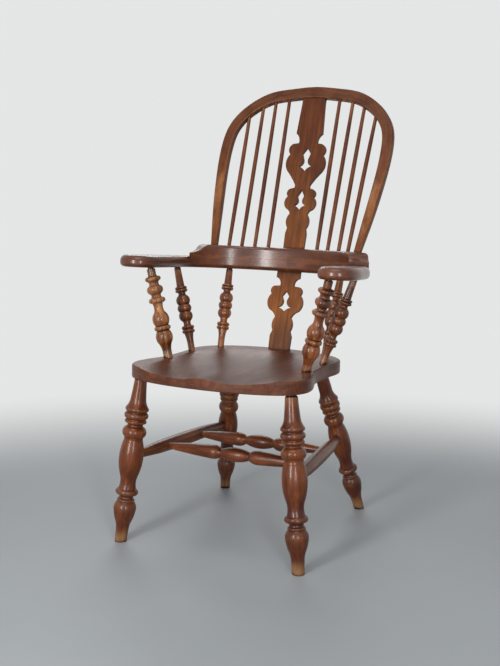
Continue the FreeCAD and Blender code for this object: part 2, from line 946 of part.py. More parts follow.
side_front_end = on_axis(front_leg_axis, d.side_front_height.value)
side_back_end = on_axis(back_leg_axis, d.side_back_height.value)
side_frame = axis_frame(side_front_end, side_back_end)
side_length = (side_back_end - side_front_end).Length


def make_leg(name, axis, foot_cut, girth):
    """A leg: its turning, cut level at the floor and bored for its stretcher."""
    blank, tenon_top = leg_blank(name, axis, foot_cut, girth)
    floor_size = d.leg_bulb_r * 6
    under_floor = FreeCAD.Placement(FreeCAD.Vector(axis[0].x, axis[0].y, -floor_size.value), FreeCAD.Rotation())
    floor_tool = block(name + "_floor", floor_size, floor_size, floor_size, under_floor)
    reach = d.side_tenon_past_axis + d.bore_end_gap
    bore_length = reach + d.leg_vase_r * 2
    if axis is front_leg_axis:
        bore = cylinder(name + "_bore", d.side_end_r + d.glue_gap, bore_length, side_frame, -reach.value)
    else:
        start = side_length - d.leg_vase_r.value * 2
        bore = cylinder(name + "_bore", d.side_end_r + d.glue_gap, bore_length, side_frame, start)
    leg = cut(name + "_left", blank, [floor_tool, bore])
    keep(name + "_left", leg)
    keep(name + "_right", mirrored(name + "_right", leg))
    return tenon_top


front_tenon_top = make_leg("leg_front", front_leg_axis, as_size(0), as_size(1))
back_tenon_top = make_leg("leg_back", back_leg_axis, d.leg_back_trim, d.leg_back_girth)


# Stretchers

def make_side_stretcher():
    length = Size(side_length, repr(side_length))
    quarter = length / 4
    foot = as_size(0) - d.side_tenon_past_axis
    body = new_body("side_stretcher_turning")
    corners = (
        (ORIGIN, foot),
        (d.side_end_r, foot),
        (d.side_end_r, d.leg_vase_r),
        (d.side_quarter_r, quarter),
        (d.side_quarter_r, quarter * 3, d.side_middle_r, length / 2),
        (d.side_end_r, length - d.leg_vase_r),
        (d.side_end_r, length + d.side_tenon_past_axis),
        (ORIGIN, length + d.side_tenon_past_axis),
    )
    sketch = outline_sketch(body, "XZ_Plane", corners)
    turning = body.newObject("PartDesign::Revolution", "Turning")
    turning.Profile = sketch
    turning.ReferenceAxis = (sketch, ["V_Axis"])
    turning.Angle = 360
    body.Placement = side_frame
    return body


def side_point(y):
    """The point of the right-hand side stretcher's centre line at a depth."""
    share = (y + centre_shift.y - side_front_end.y) / (side_back_end.y - side_front_end.y)
    return side_front_end + (side_back_end - side_front_end) * share


def make_cross_stretcher(name, y):
    """A cross stretcher: two clubs with an oval bead between them."""
    right = side_point(y)
    left = FreeCAD.Vector(-right.x, right.y, right.z)
    length = Size((right - left).Length, repr((right - left).Length))
    middle = length / 2
    tenon = d.cross_tenon_past_axis
    pinch = middle - d.cross_bead_half_len - d.cross_pinch_len
    round_start = pinch - d.cross_club_round
    start = d.side_middle_r
    half = [
        (ORIGIN, -tenon),
        (d.cross_end_r, -tenon),
        (d.cross_end_r, start),
        (d.cross_club_r, round_start, d.cross_taper_belly_r, (start + round_start) / 2),
        (d.cross_pinch_r, pinch, d.cross_club_belly, round_start + d.cross_club_round * 0.6),
        (d.cross_pinch_r, middle - d.cross_bead_half_len),
    ]
    other = [
        (d.cross_pinch_r, middle + d.cross_bead_half_len, d.cross_bead_r, middle),
        (d.cross_pinch_r, length - pinch),
        (d.cross_club_r, length - round_start, d.cross_club_belly, length - round_start - d.cross_club_round * 0.6),
        (d.cross_end_r, length - start, d.cross_taper_belly_r, length - (start + round_start) / 2),
        (d.cross_end_r, length + tenon),
        (ORIGIN, length + tenon),
    ]
    body = new_body(name)
    sketch = outline_sketch(body, "XZ_Plane", half + other)
    turning = body.newObject("PartDesign::Revolution", "Turning")
    turning.Profile = sketch
    turning.ReferenceAxis = (sketch, ["V_Axis"])
    turning.Angle = 360
    body.Placement = axis_frame(left, right)
    keep(name, body)
    frame = axis_frame(right, left)
    reach = d.cross_tenon_past_axis + d.bore_end_gap
    return cylinder(name + "_bore", d.cross_end_r + d.glue_gap, reach + d.side_middle_r * 2, frame, -reach.value)


cross_bores = [
    make_cross_stretcher("cross_stretcher_front", -d.cross_front_y.value),
    make_cross_stretcher("cross_stretcher_back", d.cross_back_y.value),
]
side_stretcher = cut("side_stretcher_left", make_side_stretcher(), cross_bores)
keep("side_stretcher_left", side_stretcher)
keep("side_stretcher_right", mirrored("side_stretcher_right", side_stretcher))


# Arm supports

POST_TURNING = (
    (d.post_flare_len, d.post_flare_r, d.post_flare_hollow),
    (d.post_low_vase_len, d.post_low_vase_end_r, d.post_low_vase_r),
    (d.post_low_ring_len, d.post_low_ring_end_r, d.post_low_ring_r),
    (0, d.post_vase_end_r),
    (d.post_vase_len, d.post_neck_r, d.post_vase_r),
    (d.post_neck_len, d.post_neck_r, d.post_neck_hollow),
    (0, d.post_disc_end_r),
    (d.post_disc_len, d.post_disc_end_r, d.post_disc_r),
    (d.post_bell_foot_len, d.post_bell_foot_r, d.post_bell_foot_hollow),
    (d.post_bell_len, d.post_bell_end_r, d.post_bell_r),
    (d.post_cap_foot_len, d.post_cap_foot_r, d.post_cap_foot_hollow),
    (d.post_cap_len, d.post_cap_end_r, d.post_cap_r),
)

SLIM_TURNING = (
    (d.slim_flare_len, d.slim_flare_r, d.slim_flare_hollow),
    (0, d.slim_low_ring_end_r),
    (d.slim_low_ring_len, d.slim_low_ring_end_r, d.slim_low_ring_r),
    (d.slim_ring_gap_len, d.slim_low_ring_end_r),
    (d.slim_low_ring_len, d.slim_low_neck_r, d.slim_low_ring_r),
    (d.slim_low_neck_len, d.slim_low_neck_r, d.slim_low_neck_hollow),
    (d.slim_low_ball_len, d.slim_low_ball_end_r, d.slim_low_ball_r),
    (d.slim_mid_ball_len, d.slim_low_ball_end_r, d.slim_mid_ball_r),
    (d.slim_top_ball_len, d.slim_top_ball_end_r, d.slim_top_ball_r),
    (d.slim_top_neck_len, d.slim_top_ball_end_r, d.slim_top_neck_hollow),
    (0, d.slim_top_ring_end_r),
    (d.slim_top_ring_len, d.slim_top_ring_end_r, d.slim_top_ring_r),
    (d.slim_collar_len, d.slim_top_ring_end_r, d.slim_collar_r),
    (0, d.slim_shaft_low_r),
)


def support_axis(name):
    """Centre line of a left-hand support, from the seat to the arm's underside."""
    signs = {"front": -1, "middle": 1, "back": 1}
    top_signs = {"front": -1, "middle": 1, "back": 1}
    x = getattr(d, name + "_support_x").value
    y = getattr(d, name + "_support_y").value * signs[name]
    top_x = getattr(d, name + "_support_top_x").value
    top_y = getattr(d, name + "_support_top_y").value * top_signs[name]
    return seat_point(x, y), bow_point(top_x, top_y)


def make_support(name, foot_r, foot_len, turning, top_r, top_belly):
    """A turned support with a tenon in the seat and a wedged tenon in the arm."""
    seat_end, arm_end = support_axis(name)
    length = Size((arm_end - seat_end).Length, repr((arm_end - seat_end).Length))
    frame = axis_frame(seat_end, arm_end)
    shoulder = length - d.support_shoulder_drop
    through = length + d.arm_thickness * 1.5
    height = as_size(0) - d.support_seat_tenon
    corners = [(ORIGIN, height), (foot_r, height)]
    height = height + d.support_seat_tenon + foot_len
    corners.append((foot_r, height))
    for element in turning:
        last = height
        height = height + element[0]
        if len(element) == 2:
            corners.append((element[1], height))
        else:
            corners.append((element[1], height, element[2], (last + height) / 2))
    if top_belly is None:
        corners.append((top_r, height + d.post_top_r / 4))
        corners.append((top_r, shoulder))
    else:
        corners.append((top_r, shoulder, top_belly, (height + shoulder) / 2))
    corners.append((d.support_arm_tenon_r, shoulder))
    corners.append((d.support_arm_tenon_r, through))
    corners.append((ORIGIN, through))
    body = new_body(name + "_support_turning")
    sketch = outline_sketch(body, "XZ_Plane", corners)
    turning_feature = body.newObject("PartDesign::Revolution", "Turning")
    turning_feature.Profile = sketch
    turning_feature.ReferenceAxis = (sketch, ["V_Axis"])
    turning_feature.Angle = 360
    body.Placement = frame
    top_mark = bow_point(arm_end.x, arm_end.y - centre_shift.y, d.arm_thickness.value)
    trim_frame = FreeCAD.Placement(top_mark, BOW_FRAME.Rotation)
    trim = block(name + "_support_trim", d.arm_thickness * 4, d.arm_thickness * 4, d.arm_thickness * 2, trim_frame)
    tip = frame.multVec(FreeCAD.Vector(0, 0, length.value + d.arm_thickness.value / math.cos(tilt_of(frame))))
    kerf_frame = FreeCAD.Placement(tip, frame.Rotation)
    kerf = wedge_body(name + "_kerf", kerf_frame, d.glue_gap)
    support = cut("arm_support_" + name + "_left", body, [trim, kerf])
    keep("arm_support_" + name + "_left", support)
    keep("arm_support_" + name + "_right", mirrored("arm_support_" + name + "_right", support))
    wedge_blank = wedge_body(name + "_wedge_blank", kerf_frame, as_size(0))
    pin = cylinder(name + "_wedge_round", d.support_arm_tenon_r - d.glue_gap, d.arm_thickness * 2, kerf_frame, -d.arm_thickness.value)
    wedge_round = common(name + "_wedge_cut", wedge_blank, pin)
    wedge = cut(name + "_wedge", wedge_round, [trim])
    bore_radius = d.support_arm_tenon_r + d.glue_gap
    arm_bore = cylinder(name + "_arm_bore", bore_radius, d.arm_thickness * 3, frame, length.value - d.arm_thickness.value)
    depth = d.support_seat_tenon + d.bore_end_gap
    seat_bore = cylinder(name + "_seat_bore", foot_r + d.glue_gap, depth + foot_len, frame, -depth.value)
    return arm_bore, seat_bore, wedge


def tilt_of(frame):
    """Angle between a frame's Z and the arm bow's normal."""
    along = frame.Rotation.multVec(FreeCAD.Vector(0, 0, 1))
    normal = BOW_FRAME.Rotation.multVec(FreeCAD.Vector(0, 0, 1))
    return along.getAngle(normal)


def wedge_body(name, frame, gap):
    """A tenon's wedge, thick end up; with a gap it is the kerf that takes it."""
    gap = as_size(gap)
    half_top = d.wedge_thick + gap
    half_tip = d.wedge_tip + gap
    over = d.support_arm_tenon_r
    corners = (
        (half_top, over),
        (half_tip, -(d.wedge_length + gap)),
        (-half_tip, -(d.wedge_length + gap)),
        (-half_top, over),
    )
    body = new_body(name)
    sketch = outline_sketch(body, "XZ_Plane", corners)
    pad = body.newObject("PartDesign::Pad", "Width")
    pad.Profile = sketch
    width = d.support_arm_tenon_r * 4
    bind(pad, "Length", width)
    across = FreeCAD.Placement(FreeCAD.Vector(0, width.value / 2, 0), FreeCAD.Rotation())
    body.Placement = frame.multiply(across)
    return body


arm_bores = []
seat_bores = []
wedges = []
for support_name, foot_radius, foot_length, support_turning, support_top, support_belly in (
    ("front", d.post_foot_r, d.post_foot_len, POST_TURNING, d.post_top_r, None),
    ("middle", d.slim_foot_r, d.slim_foot_len, SLIM_TURNING, d.slim_top_r, d.slim_shaft_hollow),
    ("back", d.slim_foot_r, d.slim_foot_len, SLIM_TURNING, d.slim_top_r, d.slim_shaft_hollow),
):
    bores = make_support(support_name, foot_radius, foot_length, support_turning, support_top, support_belly)
    arm_bores.append(bores[0])
    seat_bores.append(bores[1])
    wedges.append(bores[2])
wedge_group = fused("wedges_left", wedges)
keep("tenon_wedges", fused("tenon_wedges", [wedge_group, mirrored("wedges_right", wedge_group)]))


# Splats

def key_corners(prefix):
    """Right half of a key-shaped opening, from its bottom point to its top point."""
    names = SimpleNamespace(**{
        key: getattr(d, prefix + "_" + key)
        for key in (
            "star_bottom_up", "star_low_half", "star_low_up", "star_half", "star_up",
            "star_high_half", "star_high_up", "neck_half", "neck_up",
            "diamond_half", "diamond_up", "key_top_up",
        )
    })
    return (
        (ORIGIN, names.star_bottom_up),
        (names.star_half, names.star_up, names.star_low_half, names.star_low_up),
        (names.neck_half, names.neck_up, names.star_high_half, names.star_high_up),
        (names.diamond_half, names.diamond_up),
        (ORIGIN, names.key_top_up),
    )


def figure_corners(prefix):
    """Outer edge of one figure, from its waist up over hip and lobe to the ear."""
    get = lambda key: getattr(d, prefix + "_" + key)
    return (
        (get("hip_half"), get("hip_up"), get("hip_mid_half"), get("hip_mid_up")),
        (get("notch_half"), get("notch_up"), get("lobe_half"), get("lobe_up")),
        (get("ear_end_half"), get("ear_end_up"), get("ear_half"), get("ear_up")),
    )


def foot_corners(base_half):
    """A splat's foot tenon and its shoulder."""
    return (
        (base_half - d.splat_tenon_inset, -d.splat_tenon_len),
        (base_half - d.splat_tenon_inset, -d.splat_thickness),
        (base_half, -d.splat_thickness),
    )


def stretched(corners, ratio):
    """The same corners with their heights run out in that ratio."""
    return tuple(
        tuple(size * ratio if place_in_corner % 2 else size for place_in_corner, size in enumerate(corner))
        for corner in corners)


def base_corners(prefix):
    """Outer edge above a splat's foot: bump, nick, bulge and waist."""
    get = lambda key: getattr(d, prefix + "_" + key)
    return (
        (get("bump_half"), get("bump_up")),
        (get("nick_half"), get("nick_up")),
        (get("waist_half"), get("waist_up"), get("bulge_half"), get("bulge_up")),
    )


def splat_body(name, outer, keys, ratio, top, foot, head):
    """A pierced splat, padded from its right half and doubled across X."""
    corners = [(ORIGIN, -d.splat_tenon_len)]
    corners.extend(outer)
    corners.append((ORIGIN, top))
    for prefix in keys:
        corners.extend(reversed_path(stretched(key_corners(prefix), ratio)))
    body = padded_body(name, "XZ_Plane", corners, d.splat_thickness, mirrored=True)
    frame = axis_frame(foot, head)
    across = FreeCAD.Placement(FreeCAD.Vector(0, d.splat_thickness.value / 2, 0), FreeCAD.Rotation())
    body.Placement = frame.multiply(across)
    return body, frame


def shoulder_tools(name, half_width, plane, frame, height, side):
    """Blocks that trim a splat beside its tenon to the plane of what it meets, one
    glue gap short of it; side is 1 above the plane and -1 below."""
    reach = d.splat_thickness * 4
    width = d.splat_tenon_inset * 4
    tools = []
    for hand in (-1, 1):
        across = (half_width - d.splat_tenon_inset + width / 2).value * hand
        corner = frame.multVec(FreeCAD.Vector(across, 0, height))
        shift = -d.glue_gap.value if side > 0 else d.glue_gap.value - reach.value
        at_corner = FreeCAD.Placement(corner, plane.Rotation)
        turned = at_corner.multiply(FreeCAD.Placement(FreeCAD.Vector(0, 0, shift), FreeCAD.Rotation()))
        tools.append(block(name + "_shoulder", width, reach, reach, turned))
    return tools


def reversed_path(corners):
    """The same corners and arcs, walked the other way."""
    turned = []
    bellies = [corner[2:] for corner in corners]
    for index in range(len(corners) - 1, -1, -1):
        belly = bellies[index + 1] if index + 1 < len(corners) else ()
        turned.append(tuple(corners[index][:2]) + tuple(belly))
    return turned


lower_foot = seat_point(0, d.lower_splat_y.value)
lower_head = bow_point(0, (d.bow_inner_back_y + d.lower_splat_top_inset).value)
lower_length = Size((lower_head - lower_foot).Length, repr((lower_head - lower_foot).Length))
lower_ratio = lower_length / d.low_drawn_len
lower_figure = base_corners("low") + figure_corners("low") + (
    (d.low_cove_half, d.low_cove_up),
    (d.low_plank_half, d.low_plank_up, d.low_cove_mid_half, d.low_cove_mid_up),
)
lower_outer = foot_corners(d.low_base_half) + stretched(lower_figure, lower_ratio) + (
    (d.low_plank_half, lower_length + d.splat_thickness),
    (d.low_plank_half - d.splat_tenon_inset, lower_length + d.splat_thickness),
    (d.low_plank_half - d.splat_tenon_inset, lower_length + d.splat_tenon_len),
)
lower_splat, lower_frame = splat_body(
    "lower_splat", lower_outer, ("low",), lower_ratio, lower_length + d.splat_tenon_len, lower_foot, lower_head)
lower_shoulders = shoulder_tools("lower_foot", d.low_base_half, SEAT_FRAME, lower_frame, 0, -1)
lower_shoulders += shoulder_tools("lower_head", d.low_plank_half, BOW_FRAME, lower_frame, lower_length.value, 1)
keep("lower_splat", cut("lower_splat", lower_splat, lower_shoulders))

upper_foot = bow_point(0, (d.bow_outer_back_y - d.upper_splat_inset).value, bow_rise.value)
upper_head = hoop_point(0, d.hoop_top_up.value - d.hoop_width.value)
upper_length = Size((upper_head - upper_foot).Length, repr((upper_head - upper_foot).Length))
upper_ratio = upper_length / d.up_drawn_len
upper_figure = base_corners("up") + figure_corners("up") + (
    (d.top_waist_half, d.top_waist_up),
    (d.top_waist_half, d.top_waist_end_up),
) + figure_corners("top") + (
    (d.top_cove_half, d.top_cove_up),
    (d.top_plank_half, d.top_plank_up, d.top_cove_mid_half, d.top_cove_mid_up),
)
upper_outer = foot_corners(d.up_base_half) + stretched(upper_figure, upper_ratio) + (
    (d.top_end_half, upper_length - d.hoop_thickness),
    (d.top_end_half, upper_length + d.upper_splat_top_tenon),
)
upper_splat, upper_frame = splat_body(
    "upper_splat", upper_outer, ("top", "up"), upper_ratio, upper_length + d.upper_splat_top_tenon,
    upper_foot, upper_head)
upper_shoulders = shoulder_tools("upper_foot", d.up_base_half, BOW_FRAME, upper_frame, 0, -1)
keep("upper_splat", cut("upper_splat", upper_splat, upper_shoulders))


def slot(name, half_width, frame, start, length):
    """The slot that takes a splat's tenon, with the glue gap all round."""
    width = (half_width + d.glue_gap) * 2
    thickness = d.splat_thickness + d.glue_gap * 2
    shift = FreeCAD.Placement(FreeCAD.Vector(0, 0, start), FreeCAD.Rotation())
    return block(name, width, thickness, length, frame.multiply(shift))


# Seat

def seat_outline():
    """Right half of the seat's outline, from the middle of its front edge."""
    return (
        (ORIGIN, -d.seat_front_reach),
        (d.seat_front_bow_x, -d.seat_front_bow_y),
        (d.seat_front_end_x, -d.seat_front_end_y),
        (d.seat_corner_x, -d.seat_corner_y),
        (d.seat_wide_half, -d.seat_wide_y),
        (d.seat_cheek_x, -d.seat_cheek_y),
        (d.seat_pinch_x, -d.seat_pinch_y),
        (d.seat_hollow_x, -d.seat_hollow_y),
        (d.seat_waist_half, -d.seat_waist_y),
        (d.seat_rear_side_x, d.seat_rear_side_y),
        (d.seat_rear_half, d.seat_rear_y),
        (d.seat_rear_corner_x, d.seat_rear_corner_y),
        (d.seat_back_end_x, d.seat_back_end_y),
        (d.seat_back_bow_x, d.seat_back_bow_y),
        (ORIGIN, d.seat_back_reach),
    )


def dish_level(x, y):
    """Height of the dished surface over the seat's flat top: below it inside the
    dish, above it outside, with a ridge for the pommel at the front."""
    across = abs(x) / d.dish_half_width.value
    back = max(y, 0.0) / d.dish_back_reach.value
    reach = math.hypot(across, back)
    level = d.dish_depth.value * (reach ** d.dish_edge_power.value - 1)
    forward = min(max(-y / d.seat_front_reach.value, 0.0), 1.0)
    fade = forward ** (d.seat_front_reach.value / d.pommel_length.value)
    ridge = math.exp(-(x / d.pommel_half_width.value) ** 2)
    return min(level, d.dish_depth.value) + d.pommel_height.value * ridge * fade


def dish_tool():
    """The wood taken out of the seat's top: all that lies over the dished surface."""
    steps = 24
    half_x = d.seat_wide_half.value * 1.1
    reach_y = d.seat_front_reach.value * 1.1
    points = []
    for i in range(steps + 1):
        x = half_x * (2 * i / steps - 1)
        points.append([])
        for j in range(steps + 1):
            y = reach_y * (2 * j / steps - 1)
            points[-1].append(FreeCAD.Vector(x, y, dish_level(x, y)))
    surface = Part.BSplineSurface()
    surface.interpolate(points)
    tool = doc.addObject("Part::Feature", "dish_tool")
    tool.Shape = surface.toShape().extrude(FreeCAD.Vector(0, 0, d.seat_thickness.value * 2))
    tool.Placement = SEAT_FRAME
    return tool


seat_blank = padded_body("seat_plank", "XY_Plane", [seat_outline()], d.seat_thickness, mirrored=True, smooth=True)
seat_drop = FreeCAD.Placement(FreeCAD.Vector(0, 0, -d.seat_thickness.value), FreeCAD.Rotation())
seat_blank.Placement = SEAT_FRAME.multiply(seat_drop)


def seat_round(edge):
    if flat_edge_at(edge, SEAT_FRAME, 0):
        return d.seat_top_round.value
    if flat_edge_at(edge, SEAT_FRAME, -d.seat_thickness.value):
        return d.seat_bottom_round.value
    return 0


seat_rounded = rounded("seat_rounded", seat_blank, seat_round)
seat_cuts = [dish_tool()]
for leg_name, axis, tenon_top in (("front", front_leg_axis, front_tenon_top), ("back", back_leg_axis, back_tenon_top)):
    depth = tenon_top - (axis[1] - axis[0]).Length + d.bore_end_gap.value
    bore_length = Size(depth, repr(depth)) + d.leg_shoulder_drop * 2
    bore = cylinder("seat_leg_bore_" + leg_name, d.leg_tenon_r + d.glue_gap, bore_length,
                    axis_frame(axis[1], axis[1] + (axis[1] - axis[0])), -d.leg_shoulder_drop.value * 2)
    seat_cuts += [bore, mirrored("seat_leg_bore_right_" + leg_name, bore)]
for bore in seat_bores:
    seat_cuts += [bore, mirrored(bore.Name + "_right", bore)]
slot_depth = d.splat_tenon_len + d.glue_gap
seat_cuts.append(slot("seat_splat_slot", d.low_base_half - d.splat_tenon_inset, lower_frame,
                      -slot_depth.value, slot_depth * 2))
keep("seat", cut("seat", seat_rounded, seat_cuts))


# Hoop

def hoop_outer():
    """Right half of the hoop's outer edge in its own plane, from the top down."""
    return (
        (ORIGIN, d.hoop_top_up),
        (d.hoop_crown_half, d.hoop_crown_up),
        (d.hoop_bend_half, d.hoop_bend_up),
        (d.hoop_shoulder_half, d.hoop_shoulder_up),
        (d.hoop_turn_half, d.hoop_turn_up),
        (d.hoop_corner_half, d.hoop_corner_up),
        (d.hoop_widest_half, d.hoop_widest_up),
        (d.hoop_side_half, d.hoop_side_up),
        (d.hoop_thigh_half, d.hoop_thigh_up),
        (d.hoop_base_half, d.hoop_base_up),
    )


def hoop_width_at(up):
    """The band's width: full over the widest place, less down its sides."""
    base = d.hoop_base_up.value
    widest = d.hoop_widest_up.value
    if up > widest:
        share = (up - widest) / (d.hoop_top_up.value - widest)
        return d.hoop_side_width.value + (d.hoop_width.value - d.hoop_side_width.value) * share
    share = (up - base) / (widest - base)
    return d.hoop_base_width.value + (d.hoop_side_width.value - d.hoop_base_width.value) * math.sqrt(max(share, 0))


def hoop_inner():
    """Right half of the hoop's inner edge, from the foot up to the top."""
    outer = spline_through(hoop_outer())
    run = []
    for across, up in hoop_outer():
        point = FreeCAD.Vector(across.value, up.value, 0)
        along = outer.tangent(outer.parameter(point))[0]
        inward = FreeCAD.Vector(along.y, -along.x, 0) * hoop_width_at(up.value)
        run.append((point.x + inward.x, point.y + inward.y))
    foot = run.pop()
    run.append((foot[0], d.hoop_base_up))
    return run[::-1]


HOOP_FRAME = FreeCAD.Placement(
    hoop_point(0, 0), FreeCAD.Rotation(FreeCAD.Vector(1, 0, 0), -d.hoop_lean.value))
behind = FreeCAD.Placement(FreeCAD.Vector(0, d.hoop_thickness.value / 2, 0), FreeCAD.Rotation())
hoop_band = padded_body("hoop_band", "XZ_Plane", [hoop_outer(), hoop_inner()], d.hoop_thickness,
                        mirrored=True, smooth=True)
hoop_band.Placement = HOOP_FRAME.multiply(behind)

# The bent wood thins towards its feet: a side profile trims front and back.
hoop_side = new_body("hoop_side_profile")
side_sketch = outline_sketch(hoop_side, "YZ_Plane", (
    (d.hoop_foot_thickness / 2, d.hoop_base_up - d.hoop_thickness),
    (d.hoop_foot_thickness / 2, d.hoop_base_up),
    (d.hoop_thickness / 2, d.hoop_thin_up_to),
    (d.hoop_thickness / 2, d.hoop_top_up + d.hoop_thickness),
    (-d.hoop_thickness / 2, d.hoop_top_up + d.hoop_thickness),
    (-d.hoop_thickness / 2, d.hoop_thin_up_to),
    (-d.hoop_foot_thickness / 2, d.hoop_base_up),
    (-d.hoop_foot_thickness / 2, d.hoop_base_up - d.hoop_thickness),
))
side_pad = hoop_side.newObject("PartDesign::Pad", "Width")
side_pad.Profile = side_sketch
bind(side_pad, "Length", d.hoop_widest_half * 3)
to_left = FreeCAD.Placement(FreeCAD.Vector(-d.hoop_widest_half.value * 1.5, 0, 0), FreeCAD.Rotation())
hoop_side.Placement = HOOP_FRAME.multiply(to_left)
hoop_trimmed = common("hoop_trimmed", hoop_band, hoop_side)


def hoop_round(edge):
    """Round the four long edges, but not the feet's ends or the flats' breaks."""
    inverse = HOOP_FRAME.inverse()
    ends = [inverse.multVec(vertex.Point) for vertex in edge.Vertexes]
    middle = inverse.multVec(edge.valueAt((edge.FirstParameter + edge.LastParameter) / 2))
    if abs(middle.x) < 0.001 and abs(ends[0].x) < 0.001:
        return 0
    across = abs(ends[0].y - ends[-1].y) > d.hoop_foot_thickness.value / 2
    at_foot = middle.z < d.hoop_base_up.value + 0.001
    level = abs(ends[0].z - ends[-1].z) < 0.001 and abs(ends[0].x - ends[-1].x) < d.hoop_thickness.value * 2
    break_line = level and abs(middle.z - d.hoop_thin_up_to.value) < 0.001
    if across or at_foot or break_line:
        return 0
    return d.hoop_edge_round.value


hoop_soft = rounded("hoop_soft", hoop_trimmed, hoop_round)
foot_half = d.hoop_base_half.value - d.hoop_base_width.value / 2
side_half = d.hoop_thigh_half.value - hoop_width_at(d.hoop_thigh_up.value) / 2
hoop_foot = hoop_point(foot_half, d.hoop_base_up.value)
hoop_thigh = hoop_point(side_half, d.hoop_thigh_up.value)
foot_frame = axis_frame(hoop_foot, hoop_foot + (hoop_foot - hoop_thigh))
foot_inset = d.hoop_thickness
hoop_tenon = cylinder("hoop_tenon_left", d.hoop_tenon_r, d.hoop_tenon_len + foot_inset, foot_frame, -foot_inset.value)
crest_top = BOW_FRAME.multiply(FreeCAD.Placement(
    FreeCAD.Vector(0, 0, bow_rise.value + d.glue_gap.value - d.crest_thickness.value * 2), FreeCAD.Rotation()))
foot_trim = block("hoop_foot_trim", d.hoop_widest_half * 3, d.hoop_widest_half * 3, d.crest_thickness * 2, crest_top)
hoop_band_cut = cut("hoop_band_cut", hoop_soft, [foot_trim])
hoop_whole = fused("hoop_whole", [hoop_band_cut, hoop_tenon, mirrored("hoop_tenon_right", hoop_tenon)])
foot_bore = cylinder("hoop_foot_bore", d.hoop_tenon_r + d.glue_gap,
                     foot_inset * 2 + d.hoop_tenon_len + d.bore_end_gap, foot_frame, -2 * foot_inset.value)


# Sticks

def bow_outline():
    """Left half of the arm bow, which lies at +X, from the joint behind the sitter
    forward along its inner edge, round the paddle and back along its outer edge."""
    return (
        (ORIGIN, d.bow_inner_back_y),
        (d.bow_inner_bow_x, d.bow_inner_bow_y),
        (d.bow_inner_bend_x, d.bow_inner_bend_y),
        (d.bow_inner_turn_x, d.bow_inner_turn_y),
        (d.crest_corner_x, d.crest_corner_y),
        (d.arm_inner_mid_x, d.arm_inner_mid_y),
        (d.paddle_inner_x, -d.paddle_inner_y),
        (d.paddle_near_x, -d.paddle_near_y),
        (d.paddle_tip_x, -d.paddle_tip_y),
        (d.paddle_far_x, -d.paddle_far_y),
        (d.paddle_outer_x, -d.paddle_outer_y),
        (d.arm_outer_x, -d.arm_outer_y),
        (d.bow_outer_side_x, d.bow_outer_side_y),
        (d.bow_outer_hip_x, d.bow_outer_hip_y),
        (d.bow_outer_turn_x, d.bow_outer_turn_y),
        (d.bow_outer_bend_x, d.bow_outer_bend_y),
        (d.bow_outer_bow_x, d.bow_outer_bow_y),
        (ORIGIN, d.bow_outer_back_y),
    )


def crest_depth(across):
    """How far back the crest's outer edge lies at a place across the chair."""
    edge = spline_through(bow_outline())
    low = edge.parameter(FreeCAD.Vector(d.bow_outer_hip_x.value, d.bow_outer_hip_y.value, 0))
    high = edge.LastParameter
    for _ in range(40):
        middle = (low + high) / 2
        if edge.value(middle).x > across:
            low = middle
        else:
            high = middle
    return edge.value(low).y


def make_stick(number):
    """A back stick from the crest into the hoop; returns its two bores."""
    prefix = "stick_" + str(number)
    get = lambda key: getattr(d, prefix + "_" + key).value
    foot = bow_point(get("x"), crest_depth(get("x")) - get("inset"), bow_rise.value)
    head = hoop_point(get("top_half"), get("top_up"))
    length = Size((head - foot).Length, repr((head - foot).Length))
    frame = axis_frame(foot, head)
    bottom = as_size(0) - d.stick_foot_tenon
    top = length + d.stick_top_tenon
    corners = (
        (ORIGIN, bottom),
        (d.stick_foot_r, bottom),
        (d.stick_foot_r, as_size(0)),
        (d.stick_top_r, length, d.stick_belly_r, length * 0.45),
        (d.stick_top_r, top),
        (ORIGIN, top),
    )
    body = new_body("back_stick_left_" + str(number))
    sketch = outline_sketch(body, "XZ_Plane", corners)
    turning = body.newObject("PartDesign::Revolution", "Turning")
    turning.Profile = sketch
    turning.ReferenceAxis = (sketch, ["V_Axis"])
    turning.Angle = 360
    body.Placement = frame
    keep("back_stick_left_" + str(number), body)
    keep("back_stick_right_" + str(number), mirrored("back_stick_right_" + str(number), body))
    depth = d.stick_foot_tenon + d.bore_end_gap
    crest_bore = cylinder(prefix + "_crest_bore", d.stick_foot_r + d.glue_gap, depth * 1.5, frame, -depth.value)
    mouth = d.hoop_thickness
    hoop_bore = cylinder(prefix + "_hoop_bore", d.stick_top_r + d.glue_gap,
                         mouth + d.stick_top_tenon + d.bore_end_gap, frame, length.value - mouth.value)
    return crest_bore, hoop_bore


crest_cuts = []
hoop_cuts = []
for number in (1, 2, 3, 4):
    crest_bore, hoop_bore = make_stick(number)
    crest_cuts += [crest_bore, mirrored(crest_bore.Name + "_right", crest_bore)]
    hoop_cuts += [hoop_bore, mirrored(hoop_bore.Name + "_right", hoop_bore)]
hoop_slot_depth = d.upper_splat_top_tenon + d.glue_gap
hoop_slot_half = d.top_plank_half
hoop_cuts.append(slot("hoop_splat_slot", d.top_end_half + d.glue_gap, upper_frame,
                      upper_length.value - d.hoop_thickness.value, hoop_slot_depth + d.hoop_thickness))
keep("hoop", cut("hoop", hoop_whole, hoop_cuts))


# Arms and crest

arm_blank = padded_body("arm_blank", "XY_Plane", [bow_outline()], d.arm_thickness, smooth=True)
arm_blank.Placement = BOW_FRAME
joint_gap = d.glue_gap.value / 2


def on_joint(edge):
    """True for the edges of the flat end where the two arms meet."""
    middle = edge.valueAt((edge.FirstParameter + edge.LastParameter) / 2)
    return abs(middle.x) < 0.001 and all(abs(vertex.X) < 0.001 for vertex in edge.Vertexes)


def arm_front_round(edge):
    if on_joint(edge):
        return 0
    if flat_edge_at(edge, BOW_FRAME, d.arm_thickness.value):
        return d.arm_top_round.value
    if flat_edge_at(edge, BOW_FRAME, 0):
        return d.arm_bottom_round.value
    return 0


